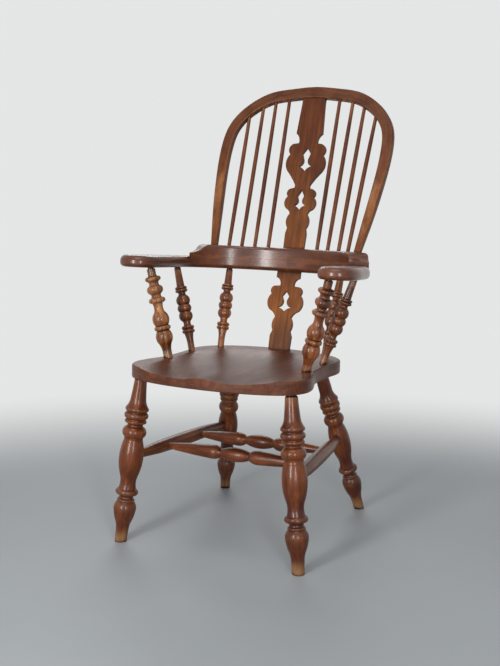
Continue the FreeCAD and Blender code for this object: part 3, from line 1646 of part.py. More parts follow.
def arm_back_round(edge):
    if on_joint(edge) or not flat_edge_at(edge, BOW_FRAME, 0):
        return 0
    return d.arm_bottom_round.value


end_turn = FreeCAD.Rotation(FreeCAD.Vector(0, 0, 1), d.crest_end_angle.value)
CREST_END_FRAME = BOW_FRAME.multiply(
    FreeCAD.Placement(FreeCAD.Vector(d.crest_corner_x.value, d.crest_corner_y.value, 0), end_turn))
large = d.bow_outer_back_y * 3
below = -d.arm_thickness.value
forward_half = CREST_END_FRAME.multiply(
    FreeCAD.Placement(FreeCAD.Vector(0, -large.value / 2, below), FreeCAD.Rotation()))
rear_half = CREST_END_FRAME.multiply(
    FreeCAD.Placement(FreeCAD.Vector(0, large.value / 2, below), FreeCAD.Rotation()))
forward_block = block("forward_block", large, large, d.arm_thickness * 3, forward_half)
rear_block = block("rear_block", large, large, d.arm_thickness * 3, rear_half)
arm_front = common("arm_front", rounded("arm_front_soft", arm_blank, arm_front_round), forward_block)
arm_back = common("arm_back", rounded("arm_back_soft", arm_blank, arm_back_round), rear_block)
arm_whole = fused("arm_whole", [arm_front, arm_back])
joint_tool = block("joint_tool", d.glue_gap, large, d.arm_thickness * 3,
                   BOW_FRAME.multiply(FreeCAD.Placement(FreeCAD.Vector(0, 0, below), FreeCAD.Rotation())))

crest_blank = padded_body("crest_blank", "XY_Plane", [bow_outline()], d.crest_thickness, mirrored=True, smooth=True)
CREST_FRAME = BOW_FRAME.multiply(FreeCAD.Placement(
    FreeCAD.Vector(0, 0, d.arm_thickness.value + d.glue_gap.value), FreeCAD.Rotation()))
crest_blank.Placement = CREST_FRAME


def crest_round(edge):
    if flat_edge_at(edge, CREST_FRAME, d.crest_thickness.value):
        return d.crest_top_round.value
    return 0


def crest_end_profile(body, name, length, along):
    """What is cut away at the crest's end, seen along that end: an ogee that rises
    from the lip over a length, and all in front of it."""
    far = large / 2
    rise = d.crest_thickness - d.crest_lip
    middle_rise = d.crest_ogee_mid_height - d.crest_lip
    corners = (
        (ORIGIN, -d.crest_thickness),
        (ORIGIN, d.crest_lip),
        (-(length / 2), d.crest_ogee_mid_height, -(length * 0.28), d.crest_lip + middle_rise * 0.34),
        (-length, d.crest_thickness, -(length * 0.76), d.crest_lip + rise * 0.86),
        (-length, d.crest_thickness * 2),
        (far, d.crest_thickness * 2),
        (far, -d.crest_thickness),
    )
    sketch = outline_sketch(body, "XZ_Plane", corners)
    sketch.Label = name
    sketch.AttachmentOffset = FreeCAD.Placement(FreeCAD.Vector(0, 0, -along), FreeCAD.Rotation())
    return sketch


def crest_end_tool():
    """The ogee is longer on the inner side of the crest than on its outer side."""
    body = new_body("crest_end_tool")
    span = math.hypot(d.bow_outer_hip_x.value - d.crest_corner_x.value, d.bow_outer_hip_y.value - d.crest_corner_y.value)
    sections = []
    for name, along in (("InnerSide", -span), ("OuterSide", span * 2)):
        length = d.crest_ogee_len - (d.crest_ogee_len - d.crest_ogee_outer_len) * (along / span)
        sections.append(crest_end_profile(body, name, length, along))
    loft = body.newObject("PartDesign::AdditiveLoft", "Ogee")
    loft.Profile = sections[0]
    loft.Sections = [sections[1]]
    loft.Ruled = True
    turn = FreeCAD.Rotation(FreeCAD.Vector(0, 0, 1), d.crest_end_angle.value - 90)
    corner = FreeCAD.Placement(FreeCAD.Vector(d.crest_corner_x.value, d.crest_corner_y.value, 0), turn)
    body.Placement = CREST_FRAME.multiply(corner)
    return body


crest_end = crest_end_tool()
ahead = FreeCAD.Placement(FreeCAD.Vector(0, -(large.value / 2 + d.crest_lip.value), d.arm_thickness.value / 2),
                          FreeCAD.Rotation())
crest_front = block("crest_front", large, large, d.crest_thickness * 3, CREST_END_FRAME.multiply(ahead))
crest_soft = rounded("crest_soft", crest_blank, crest_round)


# Dowels

def bow_dowel(name, x, y):
    """A dowel square to the bow, half in the arm and half in the crest."""
    depth = d.crest_dowel_depth
    centre = BOW_FRAME.multiply(FreeCAD.Placement(FreeCAD.Vector(x, y, d.arm_thickness.value), FreeCAD.Rotation()))
    pin = cylinder(name, d.crest_dowel_r, depth * 2, centre, -depth.value)
    gap = d.bore_end_gap
    hole = cylinder(name + "_hole", d.crest_dowel_r + d.glue_gap, (depth + gap) * 2, centre, -(depth + gap).value)
    return pin, hole


near_pin, near_hole = bow_dowel("crest_dowel_near", d.crest_dowel_near_x.value, d.crest_dowel_near_y.value)
far_pin, far_hole = bow_dowel("crest_dowel_far", d.crest_dowel_far_x.value, d.crest_dowel_far_y.value)
pins_left = fused("crest_dowels_left", [near_pin, far_pin])
keep("crest_dowels", fused("crest_dowels", [pins_left, mirrored("crest_dowels_right", pins_left)]))


def joint_dowel(name, y):
    """A dowel across the joint of the two arms, along X."""
    turn = FreeCAD.Rotation(FreeCAD.Vector(0, 1, 0), 90)
    centre = BOW_FRAME.multiply(FreeCAD.Placement(FreeCAD.Vector(0, y, d.arm_dowel_height.value), turn))
    depth = d.arm_dowel_depth
    pin = cylinder(name, d.arm_dowel_r, depth * 2, centre, -depth.value)
    gap = d.bore_end_gap
    hole = cylinder(name + "_hole", d.arm_dowel_r + d.glue_gap, (depth + gap) * 2, centre, -(depth + gap).value)
    return pin, hole


front_pin, front_hole = joint_dowel(
    "arm_joint_dowel_front", (d.bow_inner_back_y + d.arm_dowel_front_inset).value)
back_pin, back_hole = joint_dowel(
    "arm_joint_dowel_back", (d.bow_outer_back_y - d.arm_dowel_back_inset).value)
keep("arm_joint_dowels", fused("arm_joint_dowels", [front_pin, back_pin]))

lower_slot = slot("arm_splat_slot", d.low_plank_half - d.splat_tenon_inset, lower_frame,
                  lower_length.value - slot_depth.value, slot_depth * 2)
arm_cuts = arm_bores + [joint_tool, lower_slot, near_hole, far_hole, front_hole, back_hole, foot_bore]
arm_left = cut("arm_left", arm_whole, arm_cuts)
keep("arm_left", arm_left)
keep("arm_right", mirrored("arm_right", arm_left))

upper_slot = slot("crest_splat_slot", d.up_base_half - d.splat_tenon_inset, upper_frame,
                  -slot_depth.value, slot_depth * 2)
crest_holes = [near_hole, far_hole, foot_bore]
crest_cuts += [upper_slot]
for end_cut in (crest_end, crest_front):
    crest_cuts += [end_cut, mirrored(end_cut.Name + "_right", end_cut)]
for hole in crest_holes:
    crest_cuts += [hole, mirrored(hole.Name + "_crest_right", hole)]
keep("crest", cut("crest", crest_soft, crest_cuts))


# Check every feature, then write one STEP file for each part

def check_and_export():
    doc.recompute()
    for thing in doc.Objects:
        state = thing.State
        if "Invalid" in state or "Error" in state:
            raise RuntimeError(thing.Name + " failed: " + str(state))
    os.makedirs("parts", exist_ok=True)
    for name, thing in sorted(parts.items()):
        shape = thing.Shape
        if shape.isNull() or not shape.isValid() or not shape.Solids:
            raise RuntimeError(name + " has no valid solid")
        shape.exportStep("parts/" + name + ".step")
        print(name, len(shape.Solids), "solids, volume", round(shape.Volume / 1000, 1), "cm3")


check_and_export()
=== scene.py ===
import math

import bpy
import numpy as np
from mathutils import Matrix, Vector

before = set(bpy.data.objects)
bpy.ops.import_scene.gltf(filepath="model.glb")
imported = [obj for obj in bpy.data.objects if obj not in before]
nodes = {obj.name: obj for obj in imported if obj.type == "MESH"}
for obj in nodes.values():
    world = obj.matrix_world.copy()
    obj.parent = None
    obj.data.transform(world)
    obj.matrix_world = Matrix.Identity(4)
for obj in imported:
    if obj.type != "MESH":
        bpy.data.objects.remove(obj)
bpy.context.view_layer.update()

# A captain's chair in dark polished wood. The nodes keep their solid shapes; this
# script gives each its wood, with the grain laid along the piece it was cut from.


# The chair's parts by how their wood runs

LEGS = sorted(name for name in nodes if name.startswith("leg_"))
SUPPORTS = sorted(name for name in nodes if name.startswith("arm_support_"))
MOST_WORN_SUPPORT = "arm_support_front_right"
STRETCHERS = sorted(name for name in nodes if "stretcher" in name)
STICKS = sorted(name for name in nodes if name.startswith("back_stick_"))
SPLATS = ["lower_splat", "upper_splat"]
ARMS = ["arm_left", "arm_right"]
PEGS = ["crest_dowels", "arm_joint_dowels", "tenon_wedges"]


# Grain
#
# Each vertex is given its place, in metres, in the board or billet it was cut from,
# with the third number along the grain. Pieces are set apart so that no two match.

GRAIN = "grain"
BILLET_STEP = 0.371
BILLET_TURN = 2.4
AXIS_SAMPLES = 4000
HOOP_STEPS = 90
HOOP_WINDOW = 0.05


def vertex_places(node):
    """The places of a node's vertices, one row each."""
    mesh = nodes[node].data
    places = np.empty(len(mesh.vertices) * 3, np.float32)
    mesh.vertices.foreach_get("co", places)
    return places.reshape(-1, 3).astype(float)


def set_grain(node, places, offset):
    """Store the grain places of a node's vertices."""
    mesh = nodes[node].data
    attribute = mesh.attributes.get(GRAIN)
    if attribute is None:
        attribute = mesh.attributes.new(GRAIN, "FLOAT_VECTOR", "POINT")
    values = places + np.asarray(offset)
    attribute.data.foreach_set("vector", values.astype(np.float32).ravel())


def principal_axes(places):
    """Rows: two directions across a long piece, then the direction along it."""
    centred = places - places.mean(axis=0)
    stride = max(1, len(centred) // AXIS_SAMPLES)
    directions = np.linalg.svd(centred[::stride], full_matrices=False)[2]
    along = directions[0] * (1 if directions[0][2] >= 0 else -1)
    across = np.cross([0.0, 1.0, 0.0], along)
    across /= np.linalg.norm(across)
    return np.stack([across, np.cross(along, across), along])


def billet_offset(index, pith):
    """Where a piece sits in its tree: off the pith, and on its own stretch of it."""
    angle = index * BILLET_TURN
    return (pith * math.cos(angle), pith * math.sin(angle), index * BILLET_STEP)


def straight_grain(names, pith, start):
    """Grain along each long piece, pith metres off the pith."""
    for index, name in enumerate(names, start):
        places = vertex_places(name)
        axes = principal_axes(places)
        centred = places - places.mean(axis=0)
        set_grain(name, centred @ axes.T, billet_offset(index, pith))


def board_grain(names, along, offset):
    """Grain along one row axis, in a board that lies flat or stands up."""
    order = {"X": (2, 1, 0), "Y": (0, 2, 1), "Z": (0, 1, 2)}[along]
    for index, name in enumerate(names):
        places = vertex_places(name)[:, order]
        set_grain(name, places, np.asarray(offset) + (0.0, 0.0, index * BILLET_STEP))


def hoop_grain(name, offset):
    """Grain that follows the bend: places are read off along the hoop's middle line."""
    places = vertex_places(name)
    low, high = places.min(axis=0), places.max(axis=0)
    lean = math.atan2(high[1] - low[1], high[2] - low[2])
    up = places[:, 1] * math.sin(lean) + places[:, 2] * math.cos(lean)
    out = places[:, 1] * math.cos(lean) - places[:, 2] * math.sin(lean)
    centre_up = up.max() - (places[:, 0].max() - places[:, 0].min()) / 2
    turn = np.arctan2(places[:, 0], up - centre_up)
    reach = np.hypot(places[:, 0], up - centre_up)
    steps = np.linspace(turn.min(), turn.max(), HOOP_STEPS)
    middle = np.array([reach[np.abs(turn - step) < HOOP_WINDOW].mean() for step in steps])
    points = np.stack([middle * np.sin(steps), middle * np.cos(steps)], axis=1)
    lengths = np.linalg.norm(np.diff(points, axis=0), axis=1)
    along = np.interp(turn, steps, np.concatenate([[0], np.cumsum(lengths)]))
    across = reach - np.interp(turn, steps, middle)
    set_grain(name, np.stack([across, out, along], axis=1), offset)


straight_grain(LEGS, 0.034, 1)
straight_grain(SUPPORTS, 0.024, 11)
straight_grain(STRETCHERS, 0.028, 23)
straight_grain(STICKS, 0.020, 31)
straight_grain(SPLATS, 0.050, 41)
board_grain(ARMS, "Y", (0.05, 0.9, 3.1))
board_grain(["crest"], "X", (0.11, 0.35, 5.2))
board_grain(["seat"], "Y", (0.02, -0.38, 7.3))
board_grain(PEGS, "Z", (0.004, 0.003, 9.0))
hoop_grain("hoop", (0.062, 0.03, 11.0))


# Smooth shading that keeps the turned edges and the sawn corners

SHARP_ANGLE = math.radians(32)


def shade(node):
    """Shade a node smooth between its sharp edges."""
    mesh = nodes[node].data
    mesh.shade_smooth()
    mesh.set_sharp_from_angle(angle=SHARP_ANGLE)


for name in nodes:
    shade(name)


# Shader nodes

def with_alpha(colour):
    """A colour socket as it is, or a plain colour with its alpha."""
    return colour if isinstance(colour, bpy.types.NodeSocket) else (*colour, 1.0)


class Shader:
    """The node tree of a material or world, with short ways to add and join nodes."""

    def __init__(self, owner):
        self.owner = owner
        owner.use_nodes = True
        self.tree = owner.node_tree
        self.tree.nodes.clear()

    def add(self, kind, inputs=None, **settings):
        node = self.tree.nodes.new(kind)
        for key, value in settings.items():
            setattr(node, key, value)
        for key, value in (inputs or {}).items():
            self.feed(node.inputs[key], value)
        return node

    def feed(self, socket, value):
        if isinstance(value, bpy.types.NodeSocket):
            self.tree.links.new(value, socket)
        else:
            socket.default_value = value

    def math(self, operation, first, second=0.0, clamp=False):
        node = self.add("ShaderNodeMath", {0: first, 1: second}, operation=operation)
        node.use_clamp = clamp
        return node.outputs[0]

    def stretch(self, vector, scale, shift=(0.0, 0.0, 0.0)):
        settings = {"Vector": vector, "Scale": scale, "Location": shift}
        return self.add("ShaderNodeMapping", settings).outputs[0]

    def noise(self, vector, scale=1.0, detail=2.0, rough=0.5):
        settings = {"Vector": vector, "Scale": scale, "Detail": detail, "Roughness": rough}
        return self.add("ShaderNodeTexNoise", settings).outputs["Fac"]

    def band(self, value, low, high, out_low=0.0, out_high=1.0, blend="SMOOTHSTEP"):
        settings = {
            "Value": value, "From Min": low, "From Max": high,
            "To Min": out_low, "To Max": out_high}
        return self.add("ShaderNodeMapRange", settings, interpolation_type=blend).outputs[0]

    def ramp(self, value, stops):
        node = self.add("ShaderNodeValToRGB", {"Fac": value})
        elements = node.color_ramp.elements
        while len(elements) > 1:
            elements.remove(elements[-1])
        elements[0].position = stops[0][0]
        elements[0].color = (*stops[0][1], 1.0)
        for position, colour in stops[1:]:
            elements.new(position).color = (*colour, 1.0)
        return node.outputs["Color"]

    def mix(self, factor, first, second, blend="MIX"):
        node = self.add("ShaderNodeMix", data_type="RGBA", blend_type=blend)
        self.feed(node.inputs[0], factor)
        self.feed(node.inputs[6], with_alpha(first))
        self.feed(node.inputs[7], with_alpha(second))
        return node.outputs[2]

    def seen(self):
        """1 where the eye looks, straight, in a reflection or through something clear."""
        path = self.add("ShaderNodeLightPath").outputs
        direct = self.math("MAXIMUM", path["Is Camera Ray"], path["Is Glossy Ray"])
        return self.math("MAXIMUM", direct, path["Is Transmission Ray"])


# Wood
#
# Noise is stretched along the grain: the numbers are how often it changes in a metre,
# twice across the grain and once along it.

RING_WANDER = (9.0, 9.0, 1.6)
RING_WANDER_REACH = 0.034
FINE_WANDER = (42.0, 42.0, 5.0)
FINE_WANDER_REACH = 0.0035
FIBRES = (620.0, 620.0, 16.0)
PORES = (1150.0, 1150.0, 48.0)
CLOUDS = (22.0, 22.0, 6.0)
STREAKS = (95.0, 95.0, 7.0)
PATCHES = (30.0, 30.0, 14.0)
SMEARS = (24.0, 24.0, 9.0)
DENTS = (38.0, 38.0, 26.0)

CLOUD_SHARE = 1.1
STREAK_SHARE = 0.8
FIBRE_SHARE = 0.35
TONE_STOPS = (0.10, 0.5, 0.90)
PORE_DARKNESS = 0.42
# Dirt and painted shade: how dark the hollows and joints are painted, and how far the ambient
# occlusion looks for them.
DIRT_AND_SHADE_DARKNESS = 0.25
DIRT_AND_SHADE_REACH = 0.012
AGE_WOBBLE = 0.03
BARE_SHARE = 0.8

EDGE_ROUND = 0.0006
RELIEF_DEPTH = 0.0006
RELIEF_STRENGTH = 0.28
COAT_ROUGHNESS = 0.19


def late_wood_rings(s, grain, ring_gap):
    """Growth rings lie round the pith and wander a little along the grain."""
    wander = s.noise(s.stretch(grain, RING_WANDER), detail=3.0, rough=0.55)
    fine_wander = s.noise(s.stretch(grain, FINE_WANDER))
    across = s.stretch(grain, (1.0, 1.0, 0.0))
    from_pith = s.add("ShaderNodeVectorMath", {0: across}, operation="LENGTH").outputs["Value"]
    radius = s.math("ADD", from_pith, s.math("MULTIPLY", wander, RING_WANDER_REACH))
    radius = s.math("ADD", radius, s.math("MULTIPLY", fine_wander, FINE_WANDER_REACH))
    phase = s.math("FRACT", s.math("DIVIDE", radius, ring_gap))
    return s.math("MULTIPLY", s.band(phase, 0.35, 0.92), s.band(phase, 1.0, 0.93))


def grain_tone(s, clouds, streaks, fibres, late_wood, streak, rings):
    """From 0 where the wood is dark to 1 where it is light, with 0.5 as its mean."""
    middle = (CLOUD_SHARE + STREAK_SHARE) / 2 * streak + FIBRE_SHARE / 2 - 0.5
    tone = s.math("ADD", s.math("MULTIPLY", clouds, CLOUD_SHARE * streak),
                  s.math("MULTIPLY", streaks, STREAK_SHARE * streak))
    tone = s.math("ADD", tone, s.math("MULTIPLY", fibres, FIBRE_SHARE))
    tone = s.math("SUBTRACT", tone, s.math("MULTIPLY", late_wood, rings))
    return s.math("SUBTRACT", tone, middle, clamp=True)


def aged(s, colour, height, age):
    """Tint a colour by its height on the chair."""
    low, high = age[0][0], age[-1][0]
    share = s.band(height, low, high, blend="LINEAR")
    tint = s.ramp(share, [((place - low) / (high - low), tone) for place, tone in age])
    return s.mix(1.0, colour, tint, "MULTIPLY")


# grime sets how strongly dirt and painted shade darken the hollows and joints.
def wood(name, tones, streak=1.0, rings=0.2, ring_gap=0.0042, pores_depth=0.3, gloss=0.30,
         shine=0.4, coat=0.0, grime_and_shade=0.8, wear=None, wear_depth=0.5, age=None, bare=None):
    """Polished wood. tones are its dark, middle and light colours and streak their
    spread; wear is the colour of rubbed high places; age is a run of (height, tint)
    up the piece; bare is (low z, high z, colour) of an end worn bare."""
    s = Shader(bpy.data.materials.new(name))
    grain = s.add("ShaderNodeAttribute", attribute_name=GRAIN).outputs["Vector"]
    late_wood = late_wood_rings(s, grain, ring_gap)

    # Fibres, pores, and clouds of colour drawn out along the grain.
    fibres = s.noise(s.stretch(grain, FIBRES), detail=3.0, rough=0.6)
    pores = s.band(s.noise(s.stretch(grain, PORES), detail=1.0), 0.60, 0.70)
    clouds = s.noise(s.stretch(grain, CLOUDS), detail=3.0, rough=0.6)
    streaks = s.noise(s.stretch(grain, STREAKS, (2.0, 5.0, 1.0)), detail=3.0, rough=0.6)
    tone = grain_tone(s, clouds, streaks, fibres, late_wood, streak, rings)
    colour = s.ramp(tone, list(zip(TONE_STOPS, tones)))
    pore_colour = tuple(part * PORE_DARKNESS for part in tones[0])
    colour = s.mix(s.math("MULTIPLY", pores, pores_depth), colour, pore_colour)

    # Age, rubbed high places and bare ends.
    curve = s.add("ShaderNodeNewGeometry").outputs["Pointiness"]
    patches = s.noise(s.stretch(grain, PATCHES, (3.0, 1.0, 2.0)), detail=3.0, rough=0.6)
    place = s.add("ShaderNodeTexCoord").outputs["Object"]
    height = s.add("ShaderNodeSeparateXYZ", {0: place}).outputs["Z"]
    wobble = s.math("MULTIPLY", s.math("SUBTRACT", patches, 0.5), AGE_WOBBLE)
    height = s.math("ADD", height, wobble)
    if age is not None:
        colour = aged(s, colour, height, age)
    if wear is not None:
        rubbed = s.math("MULTIPLY", s.band(curve, 0.505, 0.56), s.band(patches, 0.32, 0.60))
        colour = s.mix(s.math("MULTIPLY", rubbed, wear_depth), colour, wear)
    if bare is not None:
        bare_low, bare_high, bare_colour = bare
        pale = s.math("MULTIPLY", s.band(height, bare_high, bare_low), BARE_SHARE)
        colour = s.mix(pale, colour, s.mix(streaks, tones[1], bare_colour))

    # Hollows keep old polish and dirt; the darkening found by ambient occlusion is partly that
    # dirt and partly painted shade in the grooves and where parts meet.
    occlusion = s.add("ShaderNodeAmbientOcclusion", {"Distance": DIRT_AND_SHADE_REACH}, samples=8)
    dirt_and_painted_shade = s.math("MULTIPLY", s.band(occlusion.outputs["AO"], 0.94, 0.42), grime_and_shade)
    dirt_and_painted_shade = s.math("MULTIPLY", dirt_and_painted_shade, s.band(patches, 0.2, 0.55, 0.7, 1.0), clamp=True)
    colour = s.mix(dirt_and_painted_shade, colour, tuple(part * DIRT_AND_SHADE_DARKNESS for part in tones[0]))

    # Old polish: smooth overall, duller in its hollows and along open grain.
    smears = s.noise(s.stretch(grain, SMEARS, (1.0, 4.0, 0.0)), detail=4.0, rough=0.65)
    dull = s.math("ADD", gloss - 0.07, s.math("MULTIPLY", smears, 0.14))
    dull = s.math("ADD", dull, s.math("MULTIPLY", dirt_and_painted_shade, 0.25))
    dull = s.math("ADD", dull, s.math("MULTIPLY", pores, 0.10), clamp=True)

    # Fine relief, and corners softened by handling.
    dents = s.noise(s.stretch(grain, DENTS))
    relief = s.math("ADD", s.math("MULTIPLY", fibres, 0.35), s.math("MULTIPLY", dents, 1.1))
    relief = s.math("SUBTRACT", relief, s.math("MULTIPLY", pores, 0.35))
    relief = s.math("SUBTRACT", relief, s.math("MULTIPLY", late_wood, 0.25))
    corner = s.add("ShaderNodeBevel", {"Radius": EDGE_ROUND}, samples=4).outputs["Normal"]
    bump = s.add("ShaderNodeBump", {
        "Strength": RELIEF_STRENGTH, "Distance": RELIEF_DEPTH,
        "Height": relief, "Normal": corner}).outputs["Normal"]

    surface = s.add("ShaderNodeBsdfPrincipled", {
        "Base Color": colour, "Roughness": dull, "Normal": bump, "Specular IOR Level": shine,
        "Coat Weight": coat, "Coat Roughness": COAT_ROUGHNESS, "Coat Normal": corner})
    s.add("ShaderNodeOutputMaterial", {"Surface": surface.outputs["BSDF"]})
    return s.owner


# Colours: old elm and fruitwood under dark polish, each as dark, middle and light

POLISHED = ((0.034, 0.008, 0.003), (0.095, 0.024, 0.008), (0.185, 0.056, 0.016))
TURNED = ((0.034, 0.007, 0.003), (0.120, 0.028, 0.007), (0.290, 0.085, 0.020))
SUPPORT_TONES = ((0.042, 0.010, 0.004), (0.160, 0.046, 0.013), (0.360, 0.135, 0.040))
GOLDEN_TONES = ((0.055, 0.015, 0.006), (0.200, 0.072, 0.022), (0.430, 0.200, 0.070))
SEAT_TONES = ((0.036, 0.011, 0.006), (0.088, 0.027, 0.014), (0.160, 0.058, 0.029))
SPLAT_TONES = ((0.050, 0.012, 0.004), (0.115, 0.028, 0.008), (0.205, 0.062, 0.016))
STICK_TONES = ((0.036, 0.009, 0.004), (0.100, 0.027, 0.011), (0.200, 0.066, 0.024))
PEG_TONES = ((0.060, 0.022, 0.010), (0.170, 0.066, 0.026), (0.290, 0.130, 0.055))
RUBBED = (0.46, 0.21, 0.085)
RUBBED_PALE = (0.50, 0.27, 0.115)
RUBBED_DARK = (0.25, 0.085, 0.030)
BARE_FOOT = (0.34, 0.205, 0.090)
BARE_FOOT_LOW = 0.010
BARE_FOOT_HIGH = 0.042

# Handling has worn the splats golden at mid height and left them dark at their ends.
SPLAT_AGE = (
    (0.440, (0.85, 1.05, 1.20)),
    (0.490, (1.10, 1.40, 1.45)),
    (0.545, (2.05, 2.60, 1.75)),
    (0.610, (1.75, 2.15, 1.55)),
    (0.665, (1.10, 1.30, 1.15)),
    (0.740, (1.35, 1.65, 1.45)),
    (0.820, (1.40, 1.85, 1.50)),
    (0.880, (0.85, 0.95, 0.95)),
    (1.150, (0.88, 0.90, 1.00)),
)

# The legs are lightest on their long vases and darkest at their ankles.
LEG_AGE = (
    (0.060, (0.70, 0.66, 0.80)),
    (0.150, (0.68, 0.64, 0.80)),
    (0.200, (1.05, 1.05, 0.95)),
    (0.300, (1.20, 1.20, 1.00)),
    (0.350, (0.80, 0.78, 0.85)),
    (0.430, (1.00, 1.00, 0.95)),
)

# The arm supports darken towards the arms.
SUPPORT_HEIGHT_TINT = (
    (0.440, (1.15, 1.15, 1.05)),
    (0.560, (1.05, 1.00, 0.95)),
    (0.620, (0.80, 0.74, 0.80)),
    (0.690, (0.62, 0.58, 0.68)),
)

# The hoop is golden low down and dark at its top.
HOOP_AGE = (
    (0.700, (1.35, 1.50, 1.20)),
    (0.930, (1.30, 1.45, 1.20)),
    (1.060, (0.98, 1.00, 0.95)),
    (1.175, (0.88, 0.90, 1.00)),
)


def paint(names, material):
    """Give nodes their finish."""
    for name in names:
        slots = nodes[name].data.materials
        slots.clear()
        slots.append(material)


paint(LEGS, wood(
    "leg_wood", TURNED, rings=0.1, wear=RUBBED, wear_depth=0.5, shine=0.15, coat=0.35,
    gloss=0.36, grime_and_shade=1.1, age=LEG_AGE, bare=(BARE_FOOT_LOW, BARE_FOOT_HIGH, BARE_FOOT)))
paint(SUPPORTS, wood(
    "support_wood", SUPPORT_TONES, streak=1.5, rings=0.1, wear=RUBBED, wear_depth=0.55,
    shine=0.15, coat=0.45, gloss=0.33, grime_and_shade=1.3, age=SUPPORT_HEIGHT_TINT))
paint([MOST_WORN_SUPPORT], wood(
    "worn_support_wood", GOLDEN_TONES, streak=1.6, rings=0.1, wear=RUBBED_PALE,
    wear_depth=0.75, shine=0.15, coat=0.4, gloss=0.33, grime_and_shade=1.4, age=SUPPORT_HEIGHT_TINT))
paint(STRETCHERS, wood(
    "stretcher_wood", TURNED, rings=0.1, wear=RUBBED, wear_depth=0.4, shine=0.25,
    coat=0.15, gloss=0.36))
paint(STICKS, wood(
    "stick_wood", STICK_TONES, rings=0.1, wear=RUBBED, wear_depth=0.3, shine=0.2,
    gloss=0.38))
paint(SPLATS, wood(
    "splat_wood", SPLAT_TONES, rings=0.14, ring_gap=0.0065, shine=0.18, gloss=0.40,
    age=SPLAT_AGE))
paint(ARMS + ["crest"], wood(
    "arm_wood", POLISHED, streak=0.6, rings=0.06, wear=RUBBED_DARK, wear_depth=0.4,
    shine=0.25, coat=0.5, gloss=0.34))
paint(["hoop"], wood(
    "hoop_wood", POLISHED, streak=0.7, rings=0.16, wear=RUBBED, wear_depth=0.4, shine=0.2,
    gloss=0.38, age=HOOP_AGE))
paint(["seat"], wood(
    "seat_wood", SEAT_TONES, streak=0.9, rings=0.10, ring_gap=0.0068, pores_depth=0.5,
    shine=0.2, gloss=0.37, grime_and_shade=0.6, wear=RUBBED_DARK, wear_depth=0.4))
paint(PEGS, wood("peg_wood", PEG_TONES, gloss=0.4))


# Floor and room

FLOOR_SIZE = 60.0
FLOOR_COLOUR = (0.315, 0.337, 0.352)
FLOOR_DARKER = 0.95
FLOOR_CLOUD_SCALE = 1.7
FLOOR_ROUGHNESS = 0.62
FLOOR_MIDDLE = (0.45, -0.95, 0.0)
FLOOR_PLAIN_TO = 1.5
FLOOR_FADED_AT = 2.7
ROOM_COLOUR = (0.78, 0.79, 0.785)
ROOM_LIGHT_COLOUR = (0.86, 0.87, 0.88)
ROOM_LIGHT = 0.32


def add_floor():
    """A grey floor that fades into the plain background with distance."""
    bpy.ops.mesh.primitive_plane_add(size=FLOOR_SIZE, location=(0, 0, 0))
    floor = bpy.context.object
    floor.name = "floor"
    s = Shader(bpy.data.materials.new("floor_paint"))
    place = s.add("ShaderNodeTexCoord").outputs["Object"]
    clouds = s.noise(place, FLOOR_CLOUD_SCALE, 4.0, 0.6)
    darker = tuple(part * FLOOR_DARKER for part in FLOOR_COLOUR)
    colour = s.ramp(clouds, [(0.3, darker), (0.7, FLOOR_COLOUR)])
    near = s.add("ShaderNodeBsdfPrincipled", {"Base Color": colour, "Roughness": FLOOR_ROUGHNESS})
    far = s.add("ShaderNodeEmission", {"Color": (*ROOM_COLOUR, 1.0), "Strength": 1.0})
    spread = s.add("ShaderNodeVectorMath", {0: place, 1: FLOOR_MIDDLE}, operation="DISTANCE")
    faded = s.band(spread.outputs["Value"], FLOOR_PLAIN_TO, FLOOR_FADED_AT)
    fade = s.math("MULTIPLY", faded, s.seen())
    blend = s.add("ShaderNodeMixShader", {
        0: fade, 1: near.outputs["BSDF"], 2: far.outputs["Emission"]})
    s.add("ShaderNodeOutputMaterial", {"Surface": blend.outputs["Shader"]})
    floor.data.materials.append(s.owner)


def set_world():
    """A pale room: it lights softly, and shows as a plain background."""
    s = Shader(bpy.data.worlds.new("room"))
    bpy.context.scene.world = s.owner
    light = s.add("ShaderNodeBackground", {
        "Color": (*ROOM_LIGHT_COLOUR, 1.0), "Strength": ROOM_LIGHT})
    plain = s.add("ShaderNodeBackground", {"Color": (*ROOM_COLOUR, 1.0), "Strength": 1.0})
    blend = s.add("ShaderNodeMixShader", {
        0: s.seen(), 1: light.outputs[0], 2: plain.outputs[0]})
    s.add("ShaderNodeOutputWorld", {"Surface": blend.outputs[0]})


# Lamps: two tall windows in front, a soft one above and one behind

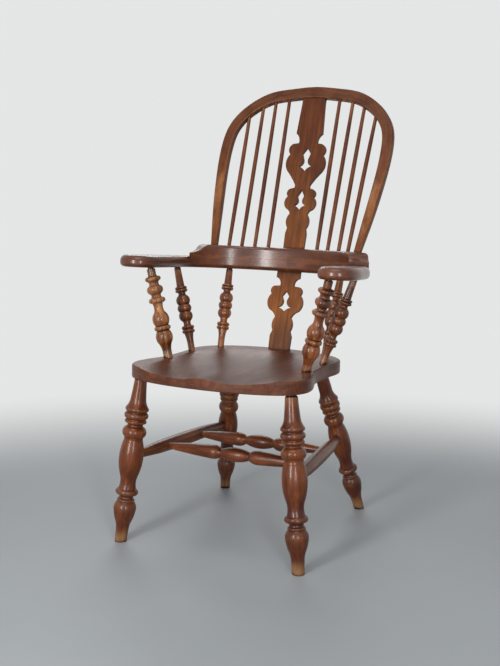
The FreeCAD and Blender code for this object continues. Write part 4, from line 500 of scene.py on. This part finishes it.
CHAIR_MIDDLE = (0.0, 0.0, 0.55)
LAMPS = (
    # name, place, (width, height), watts
    ("key", (-0.40, -3.1, 1.15), (0.5, 1.5), 62),
    ("fill", (1.95, -2.75, 1.15), (0.4, 1.4), 40),
    ("top", (0.3, -1.2, 3.4), (1.6, 1.6), 26),
    ("back", (-1.6, 2.6, 2.4), (1.8, 1.2), 30),
)


def softbox(name, place, size, power):
    """A soft lamp that faces the chair."""
    lamp = bpy.data.lights.new(name, "AREA")
    lamp.shape = "RECTANGLE"
    lamp.size, lamp.size_y = size
    lamp.energy = power
    holder = bpy.data.objects.new(name, lamp)
    bpy.context.collection.objects.link(holder)
    holder.location = place
    to_chair = Vector(CHAIR_MIDDLE) - Vector(place)
    holder.rotation_euler = to_chair.to_track_quat("-Z", "Y").to_euler()


# Camera, as it stood for the photograph

CAMERA_PLACE = Vector((1.24142, -2.67698, 1.03526))
CAMERA_YAW = math.radians(25.54)
CAMERA_PITCH = math.radians(9.98)
CAMERA_ROLL = math.radians(0.43)
FOCAL_PIXELS = 1121.65
LONG_SIDE_PIXELS = 666
SENSOR = 36.0


def add_camera():
    """The camera, turned to the left, tilted down and rolled a little."""
    camera = bpy.data.cameras.new("camera")
    camera.sensor_width = SENSOR
    camera.lens = FOCAL_PIXELS * SENSOR / LONG_SIDE_PIXELS
    holder = bpy.data.objects.new("camera", camera)
    bpy.context.collection.objects.link(holder)
    level = math.cos(CAMERA_PITCH)
    forward = Vector((
        -math.sin(CAMERA_YAW) * level, math.cos(CAMERA_YAW) * level, -math.sin(CAMERA_PITCH)))
    right = Vector((math.cos(CAMERA_YAW), math.sin(CAMERA_YAW), 0.0))
    up = right.cross(forward)
    rolled_right = right * math.cos(CAMERA_ROLL) + up * math.sin(CAMERA_ROLL)
    rolled_up = up * math.cos(CAMERA_ROLL) - right * math.sin(CAMERA_ROLL)
    turn = Matrix((rolled_right, rolled_up, -forward)).transposed()
    holder.matrix_world = Matrix.Translation(CAMERA_PLACE) @ turn.to_4x4()
    bpy.context.scene.camera = holder


add_floor()
set_world()
for lamp_settings in LAMPS:
    softbox(*lamp_settings)
add_camera()
bpy.context.scene.view_settings.view_transform = "Standard"
